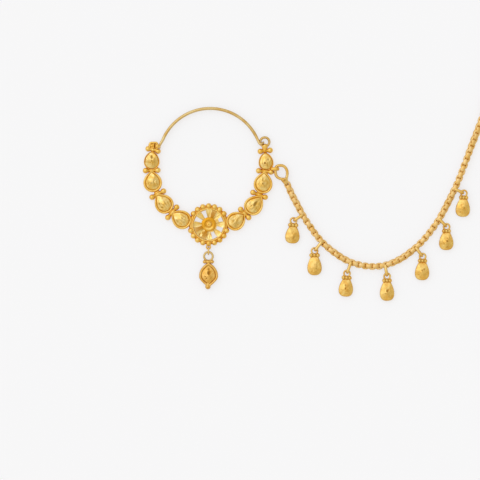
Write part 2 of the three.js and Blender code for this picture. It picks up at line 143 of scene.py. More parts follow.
def ball(mesh, centre, radius, sides=24):
    profile = [(radius * math.sin(math.radians(a)), radius * math.cos(math.radians(a)), 0.0)
               for a in range(-80, 81, 16)]
    lathe(mesh, profile, centre, sides=sides)


def circle(centre, radius, count=48, tilt=None, stretch=(0, 0), start=0):
    # Points of a ring in the XY plane, or turned by tilt; stretch pulls it out into a long loop.
    points = []
    for i in range(count):
        at = polar(radius, start + 360 * i / count)
        at.x += math.copysign(stretch[0] / 2, at.x) if abs(at.x) > 1e-6 else 0
        at.y += math.copysign(stretch[1] / 2, at.y) if abs(at.y) > 1e-6 else 0
        points.append(Vector(centre) + (tilt @ at if tilt else at))
    return points


def smoothPath(points, perSpan=8):
    # Catmull-Rom through the points.
    points = [Vector(point) for point in points]
    ends = [2 * points[0] - points[1]] + points + [2 * points[-1] - points[-2]]
    path = []
    for i in range(len(points) - 1):
        a, b, c, d = ends[i:i + 4]
        for j in range(perSpan):
            t = j / perSpan
            path.append(0.5 * (2 * b + (c - a) * t + (2 * a - 5 * b + 4 * c - d) * t * t
                               + (3 * b - a - 3 * c + d) * t ** 3))
    return path + [points[-1]]


def bezier(a, b, c, d, count):
    points = []
    for i in range(count):
        t = i / count
        points.append(a * (1 - t) ** 3 + 3 * b * t * (1 - t) ** 2 + 3 * c * t * t * (1 - t) + d * t ** 3)
    return points


def dent(mesh, marks, floor, fade=0.25):
    # Each mark is (x, y, radius, depth, length as a multiple, direction, shade), where shade is
    # painted shade laid into the mark. A negative depth raises a ridge. Only what lies above floor moves.
    paintedShade = mesh.verts.layers.float["paintedShade"]
    for vert in mesh.verts:
        if vert.co.z < floor:
            continue
        inside = min(1.0, (vert.co.z - floor) / fade)
        drop, shade = 0.0, 0.0
        for x, y, radius, depth, length, turn, dark in marks:
            way = polar(1.0, turn)
            dx, dy = vert.co.x - x, vert.co.y - y
            along = (dx * way.x + dy * way.y) / (radius * length)
            across = (-dx * way.y + dy * way.x) / radius
            far = along * along + across * across
            if far < 1:
                drop += depth * (1 - far) ** 1.5
                shade = max(shade, dark * (1 - far) ** 0.6)
        vert.co.z -= drop * inside
        vert[paintedShade] = max(vert[paintedShade], shade * inside)


def finishPiece(name, mesh, finish, node, sharp=32, body=jewelBody, sides=0.75):
    # Steep sides get painted shade, up to the share given by sides, so that they read darker than the tops.
    flatEnough = 0.62  # upward share of the normal from which a face gets no painted shade
    bmesh.ops.recalc_face_normals(mesh, faces=mesh.faces)
    mesh.normal_update()
    paintedShade = mesh.verts.layers.float["paintedShade"]
    for vert in mesh.verts:
        steep = 1 - min(1.0, max(0.0, vert.normal.z) / flatEnough)
        vert[paintedShade] = max(vert[paintedShade], sides * steep)
    mesh.transform(drawing)
    data = bpy.data.meshes.new(name)
    mesh.to_mesh(data)
    mesh.free()
    data.materials.append(finish)
    data.polygons.foreach_set("use_smooth", [True] * len(data.polygons))
    data.set_sharp_from_angle(angle=math.radians(sharp))
    piece = bpy.data.objects.new(name, data)
    bpy.context.scene.collection.objects.link(piece)
    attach(piece, body)
    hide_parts(node)


def linearColour(code):
    values = [int(code[i:i + 2], 16) / 255 for i in (1, 3, 5)]
    return [v / 12.92 if v <= 0.04045 else ((v + 0.055) / 1.055) ** 2.4 for v in values] + [1.0]


def addNode(tree, kind, inputs=None, **settings):
    node = tree.nodes.new(kind)
    for name, value in settings.items():
        setattr(node, name, value)
    for name, value in (inputs or {}).items():
        if isinstance(value, bpy.types.NodeSocket):
            tree.links.new(value, node.inputs[name])
        else:
            node.inputs[name].default_value = value
    return node


def goldFinish(name, look):
    # Polished gold reads as its surroundings tinted warm; a vertex attribute paints shade of darker, redder
    # gold into grooves and other shaded places.
    material = bpy.data.materials.new(name)
    material.use_nodes = True
    tree = material.node_tree
    tree.nodes.clear()
    place = addNode(tree, "ShaderNodeTexCoord").outputs["Object"]
    tone = addNode(tree, "ShaderNodeTexNoise", {"Vector": place, "Scale": 1000 / look["toneMm"],
                                                 "Detail": 2.0})
    toneLevel = addNode(tree, "ShaderNodeMapRange", {"Value": tone.outputs["Fac"],
                                                      "From Min": 0.35, "From Max": 0.65})
    pale, warm, deep = [linearColour(look[key]) for key in ("pale", "warm", "deep")]
    toneColour = addNode(tree, "ShaderNodeMix", {"Factor": toneLevel.outputs["Result"],
                                                  6: pale, 7: warm}, data_type="RGBA")
    paintedShade = addNode(tree, "ShaderNodeAttribute", attribute_name="paintedShade")
    colour = addNode(tree, "ShaderNodeMix", {"Factor": paintedShade.outputs["Fac"],
                                              6: toneColour.outputs[2], 7: deep},
                     data_type="RGBA")
    wear = addNode(tree, "ShaderNodeTexNoise", {"Vector": place, "Scale": 1000 / look["wearMm"],
                                                 "Detail": 3.0})
    roughness = addNode(tree, "ShaderNodeMapRange", {"Value": wear.outputs["Fac"], "From Min": 0.3,
                                                      "From Max": 0.7, "To Min": look["gloss"][0],
                                                      "To Max": look["gloss"][1]})
    ripple = addNode(tree, "ShaderNodeTexNoise", {"Vector": place, "Scale": 1000 / look["rippleMm"],
                                                   "Detail": 2.0})
    bump = addNode(tree, "ShaderNodeBump", {"Height": ripple.outputs["Fac"],
                                             "Strength": look["bump"], "Distance": 0.0001})
    shader = addNode(tree, "ShaderNodeBsdfPrincipled", {"Base Color": colour.outputs[2],
                                                         "Metallic": 1.0,
                                                         "Roughness": roughness.outputs["Result"],
                                                         "Normal": bump.outputs["Normal"]})
    addNode(tree, "ShaderNodeOutputMaterial", {"Surface": shader.outputs["BSDF"]})
    return material


# 22-carat gold, cast and polished: soft highlights, and painted shade of warm orange in every groove.
# Tone drifts over 2 mm, hand wear over 0.8 mm, and the polish ripples at 0.7 mm.
polishedGold = goldFinish("polished 22-carat gold", {
    "pale": "#f6d078", "warm": "#eeba52", "deep": "#d2942b", "toneMm": 2.0, "wearMm": 0.8,
    "gloss": (0.2, 0.32), "rippleMm": 0.7, "bump": 0.35})
# Bright-cut gold: near-mirror facets from a diamond tool, with painted shade of olive-brown in its cuts.
brightCutGold = goldFinish("bright-cut 22-carat gold", {
    "pale": "#f0d28a", "warm": "#eabb5c", "deep": "#a87c2c", "toneMm": 1.1, "wearMm": 0.5,
    "gloss": (0.1, 0.22), "rippleMm": 0.4, "bump": 0.6})
# The drops are the same gold, cut with a duller tool, so they shine more softly.
dropGold = goldFinish("softly cut 22-carat gold", {
    "pale": "#efca76", "warm": "#e6b256", "deep": "#b27c2c", "toneMm": 1.4, "wearMm": 0.5,
    "gloss": (0.2, 0.34), "rippleMm": 0.5, "bump": 0.5})
# Stamped gold leaf of the flower: bright on the petals, with painted shade of deep orange in the folds, the
# roots and the closed gaps.
stampedGold = goldFinish("stamped 22-carat gold", {
    "pale": "#fae09a", "warm": "#f3c968", "deep": "#bd7c1a", "toneMm": 1.2, "wearMm": 0.6,
    "gloss": (0.15, 0.28), "rippleMm": 0.5, "bump": 0.4})
# The flower's cup: orange gold, with painted shade of deep orange over most of it.
cupGold = goldFinish("cup 22-carat gold, with painted shade", {
    "pale": "#f8d074", "warm": "#f4c058", "deep": "#dc991c", "toneMm": 1.0, "wearMm": 0.5,
    "gloss": (0.22, 0.36), "rippleMm": 0.4, "bump": 0.5})
# The pendant's gold is darker, with a browner painted shade in the grooves.
pendantGold = goldFinish("darker 22-carat gold, with painted shade", {
    "pale": "#eabe6c", "warm": "#e0a84a", "deep": "#a2691a", "toneMm": 1.5, "wearMm": 0.6,
    "gloss": (0.18, 0.32), "rippleMm": 0.5, "bump": 0.5})
# The hoop's thick wire is a paler, greener gold, which springs better.
springGold = goldFinish("hard 20-carat gold wire", {
    "pale": "#dfc58a", "warm": "#d3aa60", "deep": "#a3762e", "toneMm": 3.0, "wearMm": 1.0,
    "gloss": (0.2, 0.32), "rippleMm": 0.9, "bump": 0.3})
# Drawn wire, polished: paler, with a soft sheen.
wireGold = goldFinish("drawn 22-carat gold wire", {
    "pale": "#f2d28a", "warm": "#e4b55c", "deep": "#b0782a", "toneMm": 3.0, "wearMm": 1.0,
    "gloss": (0.2, 0.32), "rippleMm": 0.9, "bump": 0.3})
# Belcher links: small, tumbled bright, with warmer painted shade on the inner side of each link.
linkGold = goldFinish("tumbled 22-carat gold links", {
    "pale": "#efcb8b", "warm": "#e5b766", "deep": "#cf9e4a", "toneMm": 1.5, "wearMm": 0.5,
    "gloss": (0.3, 0.42), "rippleMm": 0.5, "bump": 0.3})
print("finishes made")


pearSizes = {"groove": {"large": 0.7, "small": 0.34}, "bezier": 12, "round": 28}
# Where the middle of the round end lies on the arc, the way the tip points, its reach from
# there, and the width.
pears = {
    "left_1": {"at": (16.55, 175.5), "heading": 87, "reach": 3.15, "width": 4.6, "size": "small"},
    "left_2": {"at": (16.9, 196.4), "heading": 95.5, "reach": 3.8, "width": 5.45, "size": "large"},
    "left_3": {"at": (16.9, 220.7), "heading": 129, "reach": 3.95, "width": 5.4, "size": "large"},
    "left_4": {"at": (17.3, 243.7), "heading": 144.5, "reach": 4.0, "width": 5.4, "size": "large"},
    "right_4": {"at": (17.7, 295.8), "heading": 39.5, "reach": 3.85, "width": 5.4, "size": "large"},
    "right_3": {"at": (17.3, 318.1), "heading": 50, "reach": 4.1, "width": 5.4, "size": "large"},
    "right_2": {"at": (16.6, 341.7), "heading": 82.5, "reach": 3.95, "width": 5.5, "size": "large"},
    "right_1": {"at": (16.68, 3.3), "heading": 96, "reach": 3.12, "width": 4.4, "size": "small"},
}


def pearOutline(pear, inset=0.0):
    # Tip on +X, drawn about the middle of the round end. A small pear has fuller shoulders.
    half = pear["width"] / 2 - inset
    tip = pear["reach"] - inset
    back, out = (0.12, 0.5) if pear["size"] == "small" else (0.3, 0.36)
    upper = bezier(Vector((tip, 0, 0)), Vector((tip - back * half, out * half, 0)),
                   Vector((0.5 * tip, half, 0)), Vector((0, half, 0)), pearSizes["bezier"])
    count = pearSizes["round"]
    arc = [polar(half, 90 + 180 * i / count) for i in range(count + 1)]
    lower = [Vector((p.x, -p.y, 0)) for p in reversed(upper[1:])]
    return upper + arc + lower


def placedAt(points, pear, z):
    turn = Matrix.Rotation(math.radians(pear["heading"]), 4, "Z")
    centre = polar(*pear["at"])
    return [turn @ p + centre + Vector((0, 0, z)) for p in points]


def collet(mesh, outline, groove, place):
    # Rows of inset, height and painted shade, from the back over the rounded rim into a shallow groove,
    # where the shade deepens.
    profile = [(0.14, 0.0, 0.2), (0.02, 0.12, 0.2), (0.0, 0.4, 0.1), (0.0, 0.95, 0.0),
               (0.07 * groove, 1.2, 0.0), (0.22 * groove, 1.38, 0.0), (0.4 * groove, 1.47, 0.0),
               (0.58 * groove, 1.46, 0.0), (0.74 * groove, 1.4, 0.0), (0.87 * groove, 1.33, 0.2),
               (groove, 1.24, 0.45), (groove + 0.1, 1.14, 0.6)]
    rings = [place(outline(inset), height) for inset, height, _ in profile]
    loft(mesh, rings, [row[2] for row in profile])


def makeCollets():
    mesh = shell()
    for pear in pears.values():
        collet(mesh, lambda inset: pearOutline(pear, inset), pearSizes["groove"][pear["size"]],
               lambda points, z: placedAt(points, pear, z))
    finishPiece("pearCollets", mesh, polishedGold, "hoop_frame", sharp=60)


# A cut dome is a cushion shape, cut by flat facets, rippled, then scratched and dented.
domeSize = {"base": 1.09, "girdle": 1.24, "top": 2.06, "rows": 18, "wave": 0.06, "waveMm": 0.8,
            "steep": 1.1, "scores": (-1.25, -0.4, 0.45, 1.2), "scoredWidth": 5.4, "lift": 1.28,
            "highest": 2.24}


def cushion(mesh, outline, size, facets, seed, under=None):
    # The outline is about the piece's own middle. A facet is (way it faces, tilt, height over
    # the middle); with no height it starts at the girdle. under gives the rows below the girdle
    # as (share of the outline, height).
    rows = size["rows"]
    rings, levels = [], []
    # The rows below the girdle and the girdle row itself get painted shade.
    for share, height in under or [(0.96, size["base"]), (1.0, size["base"] + 0.04)]:
        rings.append([p * share + Vector((0, 0, height)) for p in outline])
        levels.append(0.45)
    for i in range(rows):
        share = 1 - i / rows
        height = size["girdle"] + (size["top"] - size["girdle"]) * (1 - share ** 2.6) ** 0.6
        rings.append([p * share + Vector((0, 0, height)) for p in outline])
        levels.append(0.45 if i == 0 else 0.0)
    loft(mesh, rings, levels)
    planes = []
    for facing, tilt, height in facets:
        way, slope = polar(1.0, facing), math.tan(math.radians(size["steep"] * tilt))
        reach = max(p.dot(way) for p in outline)
        if height is None:
            height = size["girdle"] + slope * reach
        else:
            slope = min(slope, (height - size["girdle"]) / reach)  # it ends at the dome's edge
        planes.append((way, slope, height))
    floor = size["girdle"] + 0.01
    for vert in mesh.verts:
        if vert.co.z < floor:
            continue
        flat = Vector((vert.co.x, vert.co.y, 0))
        level = min([vert.co.z] + [height - slope * flat.dot(way) for way, slope, height in planes])
        level = max(level, size["girdle"] - 0.02)
        inside = min(1.0, (vert.co.z - size["girdle"]) / 0.3)
        spot = Vector((flat.x, flat.y, seed * 7.3)) / size["waveMm"]
        vert.co.z = level + noise.noise(spot) * size["wave"] * inside


# Facets: way faced, tilt, height over the middle. Marks: x, y, radius, depth, length, direction,
# painted shade. All about the middle of the round end.
rimCuts = [(20, 40, None), (62, 37, None), (105, 41, None), (150, 38, None), (196, 40, None),
           (240, 37, None), (283, 41, None), (325, 38, None)]
domeCuts = {
    "left_1": {"facets": [(110, 16, 1.92), (205, 22, 1.96), (330, 18, 1.94), (20, 12, 1.98),
                          (265, 14, 2.0)],
               "marks": [(0.0, 1.45, 0.36, 0.2, 1.8, 95, 0.9), (0.05, 0.3, 0.3, 0.14, 1.3, 80, 0.8),
                         (-0.75, 0.1, 0.22, -0.09, 4.6, -66, 0.0), (0.8, 0.2, 0.2, 0.05, 3, 80, 0.3)]},
    "left_2": {"facets": rimCuts + [(115, 17, 1.96), (188, 13, 1.93), (250, 15, 1.95), (320, 16, 1.93),
                                    (30, 14, 1.94), (300, 6, 1.86)],
               "marks": [(-0.65, -0.12, 0.13, 0.09, 5.5, 0, 0.7), (-0.2, -1.25, 0.17, -0.09, 3.2, 88, 0),
                         (0.45, 0.5, 0.14, 0.07, 5.0, 65, 0.45), (0.9, -0.7, 0.14, 0.06, 4.5, 130, 0.4),
                         (-0.9, -0.75, 0.14, 0.06, 4.0, 60, 0.4)]},
    "left_3": {"facets": rimCuts + [(140, 17, 1.95), (75, 14, 1.95), (215, 15, 1.92), (290, 14, 1.95),
                                    (0, 12, 1.92), (240, 6, 1.86)],
               "marks": [(-1.48, 0.17, 0.26, 0.14, 1.4, 70, 0.9), (-0.6, -0.96, 0.24, 0.15, 2.0, -40, 0.9),
                         (-1.2, -1.6, 0.22, 0.12, 1.4, 0, 0.8), (-1.75, 1.1, 0.15, -0.1, 3.6, 80, 0),
                         (0.6, 1.3, 0.2, -0.07, 2.4, 150, 0), (0.5, 0.1, 0.12, 0.05, 6.0, 110, 0.35)]},
    "left_4": {"facets": rimCuts + [(145, 18, 1.97), (60, 11, 1.92), (230, 16, 1.94), (315, 13, 1.95),
                                    (0, 9, 1.9), (270, 6, 1.87)],
               "marks": [(-1.65, -0.1, 0.15, -0.1, 4.2, -65, 0), (-1.35, -0.35, 0.13, 0.07, 5.0, -62, 0.5),
                         (0.4, 0.6, 0.13, 0.06, 5.0, 40, 0.35), (0.5, -0.8, 0.14, 0.05, 5.0, 160, 0.3)]},
    "right_4": {"facets": rimCuts + [(175, 19, 1.96), (95, 9, 1.9), (285, 17, 1.95), (10, 9, 1.9),
                                     (330, 14, 1.94), (230, 12, 1.94)],
                "marks": [(-0.85, 0.3, 0.16, -0.1, 5.4, 86, 0), (-0.45, 0.3, 0.15, 0.07, 6.0, 86, 0.5),
                          (0.6, -0.5, 0.13, 0.05, 5.5, 30, 0.35), (0.9, 0.7, 0.12, 0.05, 5.5, 75, 0.3)]},
    "right_3": {"facets": rimCuts + [(165, 18, 1.95), (120, 9, 1.9), (300, 15, 1.93), (40, 24, 1.98),
                                     (240, 13, 1.95), (350, 13, 1.92)],
                "marks": [(0.75, 0.75, 0.52, 0.26, 2.1, 48, 0.95), (-0.75, 0.0, 0.17, -0.1, 5.6, 68, 0),
                          (-1.6, 0.1, 0.14, -0.07, 2.6, 60, 0), (0.0, -0.7, 0.13, 0.05, 6.5, 30, 0.4)]},
    "right_2": {"facets": rimCuts + [(160, 17, 1.95), (85, 20, 1.98), (205, 12, 1.92), (340, 14, 1.93),
                                     (275, 13, 1.94), (20, 17, 1.95)],
                "marks": [(0.05, 1.25, 0.4, 0.12, 1.7, 95, 0.4), (0.0, 0.2, 0.3, 0.2, 1.3, 90, 1.0),
                          (-0.45, -0.25, 0.17, -0.1, 5.6, 84, 0), (0.75, -0.4, 0.13, 0.06, 6.0, 70, 0.4),
                          (-1.0, -0.4, 0.13, 0.06, 4.5, 110, 0.35)]},
    "right_1": {"facets": [(150, 17, 1.95), (75, 15, 1.96), (210, 15, 1.94), (330, 17, 1.95),
                           (280, 13, 1.98), (20, 12, 2.0)],
                "marks": [(-0.35, 0.0, 0.3, 0.16, 1.5, 95, 0.9), (0.65, 1.1, 0.26, 0.12, 1.4, 60, 0.8),
                          (0.35, -0.5, 0.13, 0.06, 6.0, 110, 0.4), (-0.8, -0.6, 0.15, -0.08, 4.0, 75, 0)]},
}


def makeDomes():
    for i, (name, pear) in enumerate(pears.items()):
        turn = Matrix.Rotation(math.radians(pear["heading"]), 3, "Z")
        groove = pearSizes["groove"][pear["size"]]
        outline = [turn @ p for p in pearOutline(pear, groove - 0.02)]
        mesh = shell()
        cushion(mesh, outline, domeSize, domeCuts[name]["facets"], i)
        # Fine tool lines run the length of each dome, darkened with painted shade.
        lines = []
        for j, side in enumerate(domeSize["scores"]):
            at = polar(side * pear["width"] / domeSize["scoredWidth"], pear["heading"] - 90)
            way = pear["heading"] + 9 * math.sin(3 * i + 2 * j)
            lines.append((at.x, at.y, 0.13, 0.07, 10, way, 0.45))
        dent(mesh, domeCuts[name]["marks"] + lines, domeSize["girdle"])
        # Raised as a whole, so that its facets stand apart.
        for vert in mesh.verts:
            above = max(0.0, vert.co.z - domeSize["girdle"])
            vert.co.z = min(domeSize["highest"], vert.co.z + (domeSize["lift"] - 1) * above)
        mesh.transform(Matrix.Translation(polar(*pear["at"])))
        finishPiece("pearDome_" + name, mesh, brightCutGold, "pear_" + name, sharp=45)


granule = {"radius": 0.83, "z": 0.84, "neck": 0.5, "lump": 0.58, "padFrom": 1.5}
# Angle and radius on the arc, half spread, and the bar's turn from pointing at the arc's centre.
granulePairs = [(163.5, 16.8, 1.46, 3), (184.0, 16.55, 1.77, -2.1), (208.6, 16.78, 1.87, -0.8),
                (231.6, 16.98, 1.95, -1.9), (307.4, 17.17, 1.66, 6.8), (330.6, 16.76, 1.91, 8.5),
                (355.0, 16.35, 1.79, -0.6), (15.4, 17.0, 1.42, -9.4)]


def makeGranulePairs():
    # Two granules joined by a thin neck with a small lump, on a pad of solder. Painted shade darkens the
    # neck and the pad.
    mesh = shell()
    big, neck, lump = granule["radius"], granule["neck"], granule["lump"]
    cap = [(big * math.sin(math.radians(a)), big * math.cos(math.radians(a))) for a in (80, 65, 50, 35)]
    flank = [(0.5, 0.87), (0.1, 0.995), (-0.3, 0.95), (-0.58, 0.8)]
    pad = [(0.05, 0.9, 0.5), (0.25, 1.1, 0.5), (0.7, 1.15, 0.4), (0.95, 1.05, 0.35), (1.1, 0.8, 0.3),
           (1.18, 0.4, 0.3)]
    for angle, radius, spread, turn in granulePairs:
        half = [(spread + along, wide, 0.0) for along, wide in cap]
        half += [(spread + along * big, wide * big, 0.0) for along, wide in flank]
        half.append((spread - 0.98 * big, neck, 0.8))
        half += [(0.4, 0.92 * lump, 0.35), (0.2, 0.98 * lump, 0.2)]
        other = [(-along, wide, shade) for along, wide, shade in half]
        profile = other + [(0.0, lump, 0.2)] + half[::-1]
        lathe(mesh, profile, polar(radius, angle, granule["z"]), polar(1, angle + turn), 28)
        if spread > granule["padFrom"]:  # the two end pairs stand close, and need no pad
            lathe(mesh, pad, polar(radius, angle), sides=28)
    finishPiece("granulePairs", mesh, polishedGold, "hoop_frame", sharp=60)


backWire = {"wire": 0.42, "z": 0.43, "runs": ((163, 254.5), (285.5, 375.5)), "steps": 48}


def makeBackWire():
    mesh = shell()
    steps = backWire["steps"]
    for start, stop in backWire["runs"]:
        path = [polar(arcRadius, start + (stop - start) * i / steps, backWire["z"])
                for i in range(steps + 1)]
        # The back wire lies under the collets and gets painted shade all along.
        tube(mesh, path, backWire["wire"], 14, paintedShade=lambda place: 0.5)
    finishPiece("backWire", mesh, polishedGold, "hoop_frame")


# These trees put one small piece on every point of a path.
def repeatTree(name):
    tree = bpy.data.node_groups.new(name, "GeometryNodeTree")
    face = tree.interface
    face.new_socket("Geometry", in_out="INPUT", socket_type="NodeSocketGeometry")
    for label, kind in (("Piece", "NodeSocketObject"), ("Count", "NodeSocketInt"),
                        ("Turn", "NodeSocketFloat"), ("Finish", "NodeSocketMaterial")):
        face.new_socket(label, in_out="INPUT", socket_type=kind)
    face.new_socket("Geometry", in_out="OUTPUT", socket_type="NodeSocketGeometry")
    return tree, addNode(tree, "NodeGroupInput").outputs


def placeCopies(tree, given, points, rotation=None):
    # The shared end of every tree: copies of the piece on the points, made real, with a finish.
    info = addNode(tree, "GeometryNodeObjectInfo", {"Object": given["Piece"]},
                   transform_space="ORIGINAL")
    inputs = {"Points": points, "Instance": info.outputs["Geometry"]}
    if rotation:
        inputs["Rotation"] = rotation
    copies = addNode(tree, "GeometryNodeInstanceOnPoints", inputs)
    solid = addNode(tree, "GeometryNodeRealizeInstances", {"Geometry": copies.outputs["Instances"]})
    finish = addNode(tree, "GeometryNodeSetMaterial", {"Geometry": solid.outputs["Geometry"],
                                                        "Material": given["Finish"]})
    addNode(tree, "NodeGroupOutput", {"Geometry": finish.outputs["Geometry"]})
    return tree


def bakedPiece(name, source, tree, values):
    # Runs a tree on a curve or mesh object and keeps the result as a plain mesh in a bmesh.
    modifier = source.modifiers.new(name, "NODES")
    modifier.node_group = tree
    for item in tree.interface.items_tree:
        if item.in_out == "INPUT" and item.name in values:
            modifier[item.identifier] = values[item.name]
    depsgraph = bpy.context.evaluated_depsgraph_get()
    data = bpy.data.meshes.new_from_object(source.evaluated_get(depsgraph), depsgraph=depsgraph)
    mesh = shell()
    mesh.from_mesh(data)
    bpy.data.objects.remove(source)
    return mesh


def scratchObject(name, mesh):
    data = bpy.data.meshes.new(name)
    mesh.to_mesh(data)
    mesh.free()
    item = bpy.data.objects.new(name, data)
    bpy.context.scene.collection.objects.link(item)
    return item


def curveObject(name, points):
    curve = bpy.data.curves.new(name, "CURVE")
    curve.dimensions = "3D"
    spline = curve.splines.new("POLY")
    spline.points.add(len(points) - 1)
    for item, point in zip(spline.points, points):
        item.co = (*point, 1.0)
    item = bpy.data.objects.new(name, curve)
    bpy.context.scene.collection.objects.link(item)
    return item


medallion = {"border": 5.42, "granule": 0.84, "count": 20, "first": 18, "covered": (0, 18, 162, 180)}


def makeMedallionRim():
    # Rows of height, radius and painted shade, darker on the outer wall and the inner ledge.
    profile = [(0.0, 4.85, 0.3), (0.08, 4.95, 0.3), (0.8, 5.0, 0.5), (1.0, 4.98, 0.6),
               (1.12, 4.92, 0.4), (1.24, 4.86, 0.1), (1.34, 4.76, 0.0), (1.38, 4.66, 0.0),
               (1.37, 4.56, 0.0), (1.3, 4.46, 0.0), (1.16, 4.4, 0.1), (0.9, 4.37, 0.3),
               (0.6, 4.33, 0.4), (0.5, 4.26, 0.4), (0.2, 4.24, 0.3), (0.0, 4.3, 0.3)]
    mesh = shell()
    lathe(mesh, profile, (0, medallionY, 0), sides=120, closed=True)
    finishPiece("medallionRim", mesh, polishedGold, "hoop_frame", sharp=60)


def borderTree():
    tree, given = repeatTree("granule border")
    points = addNode(tree, "GeometryNodeCurveToPoints", {"Curve": given["Geometry"],
                                                          "Count": given["Count"]}, mode="COUNT")
    return placeCopies(tree, given, points.outputs["Points"])


def makeGranuleBorder():
    # The circle is cut at the covered places, so each open stretch gets its own run of granules.
    pitch = 360 / medallion["count"]
    runs = [[]]
    for i in range(medallion["count"]):
        angle = medallion["first"] + i * pitch
        if round(angle) % 360 in medallion["covered"]:
            runs.append([])
        else:
            runs[-1].append(angle)
    bead = shell()
    ball(bead, (0, 0, 0), medallion["granule"], 24)
    seed = scratchObject("borderGranule", bead)
    tree = borderTree()
    whole = shell()
    for run in filter(None, runs):
        points = [polar(medallion["border"], angle, granule["z"]) + Vector((0, medallionY, 0))
                  for angle in run]
        part = bakedPiece("border", curveObject("borderRun", points), tree,
                          {"Piece": seed, "Count": len(run), "Finish": polishedGold})
        data = bpy.data.meshes.new("borderPart")
        part.to_mesh(data)
        part.free()
        whole.from_mesh(data)
    bpy.data.objects.remove(seed)
    # A fillet of solder between the granules joins them to the rim, darkened with painted shade.
    lathe(whole, [(0.1, 4.9, 0.3), (0.12, 5.6, 0.3), (0.7, 5.72, 0.4), (0.98, 5.5, 0.45),
                  (1.08, 5.2, 0.45), (1.1, 4.9, 0.4)], (0, medallionY, 0), sides=96, closed=True)
    finishPiece("granuleBorder", whole, polishedGold, "hoop_frame", sharp=60)


flowerSize = {"petals": 8, "middle": (0.1, medallionY + 0.1, 1.1), "rows": 22, "across": 14,
              "from": 1.55, "to": 4.46, "thick": 0.2, "webs": (67, 203, 247), "webFrom": 1.7,
              "webThick": 0.15, "shortWebs": {22: 3.0, 112: 2.15, 157: 2.3, 292: 2.4, 337: 2.4}}
# Half width of a petal by distance from the flower's middle.
petalWidths = [(1.55, 0.34), (2.0, 0.42), (2.6, 0.58), (3.2, 0.75), (3.8, 0.88), (4.15, 0.87),
               (4.35, 0.74), (4.46, 0.48)]


def petalHalf(distance):
    for (near, low), (far, high) in zip(petalWidths, petalWidths[1:]):
        if distance <= far:
            return low + (high - low) * (distance - near) / (far - near)
    return petalWidths[-1][1]


def petalMesh():
    # A hollowed spoon along +X, closed, from the cup out to its rounded tip.
    mesh = shell()
    rows, across = flowerSize["rows"], flowerSize["across"]
    rings, levels = [], []
    for i in range(rows + 1):
        place = i / rows
        x = flowerSize["from"] + (flowerSize["to"] - flowerSize["from"]) * place
        wide = petalHalf(x)
        lift = 0.06 + 0.24 * place
        upper, lower = [], []
        for j in range(across + 1):
            side = 2 * j / across - 1
            bowl = -0.22 * (1 - abs(side) ** 1.8) * math.sin(math.pi * min(1, place * 1.05)) ** 0.5
            z = lift + bowl
            upper.append(Vector((x, wide * side, z)))
            lower.append(Vector((x, wide * side, z - flowerSize["thick"])))
        rings.append(upper + lower[::-1])
        # Painted shade darkens each petal towards its root at the cup.
        levels.append(0.7 * (1 - place) ** 2)
    loft(mesh, rings, levels)
    return mesh


def petalTree():
    tree, given = repeatTree("petals round the cup")
    line = addNode(tree, "GeometryNodeMeshLine", {"Count": given["Count"], "Offset": (0, 0, 0)})
    index = addNode(tree, "GeometryNodeInputIndex").outputs["Index"]
    angle = addNode(tree, "ShaderNodeMath", {0: index, 1: given["Turn"]}, operation="MULTIPLY")
    euler = addNode(tree, "ShaderNodeCombineXYZ", {"Z": angle.outputs[0]})
    return placeCopies(tree, given, line.outputs["Mesh"], euler.outputs["Vector"])


def petalMarks():
    # Folds beside the petals, dark with painted shade: angle and distance from the middle, length,
    # direction, radius, depth and shade. A negative depth is a burnished ridge.
    folds = [(105, 3.75, 4.0, 95, 0.2, 0.1, 1.0), (-99, 3.25, 3.4, -96, 0.2, 0.12, 1.0),
             (-79, 2.9, 3.6, -84, 0.18, 0.1, 1.0), (-133, 3.9, 3.0, -122, 0.22, 0.1, 1.0),
             (-127, 3.0, 3.2, -118, 0.2, 0.1, 0.9), (-59, 3.3, 3.4, -62, 0.17, 0.1, 0.9),
             (-160, 4.0, 3.2, -90, 0.2, 0.08, 0.9), (-150, 2.9, 3.2, -148, 0.18, 0.08, 0.8),
             (76, 3.1, 3.4, 74, 0.24, 0.1, 0.9), (58, 3.0, 2.6, 56, 0.2, 0.1, 0.8),
             (124, 3.9, 2.4, 40, 0.18, 0.06, 0.7), (166, 3.9, 2.6, 80, 0.16, 0.06, 0.6),
             (90, 3.5, 2.6, 90, 0.26, -0.1, 0.0), (-90, 3.5, 3.0, -90, 0.24, -0.12, 0.0),
             (-120, 3.6, 2.6, -124, 0.22, -0.12, 0.0), (-45, 3.4, 3.2, -45, 0.24, -0.1, 0.0),
             (45, 3.5, 2.0, 45, 0.3, -0.1, 0.0), (0, 3.5, 3.0, 0, 0.26, -0.1, 0.0)]
    marks = []
    for angle, distance, length, turn, radius, depth, shade in folds:
        at = polar(distance, angle)
        marks.append((at.x, at.y, radius, depth, length, turn, shade))
    return marks


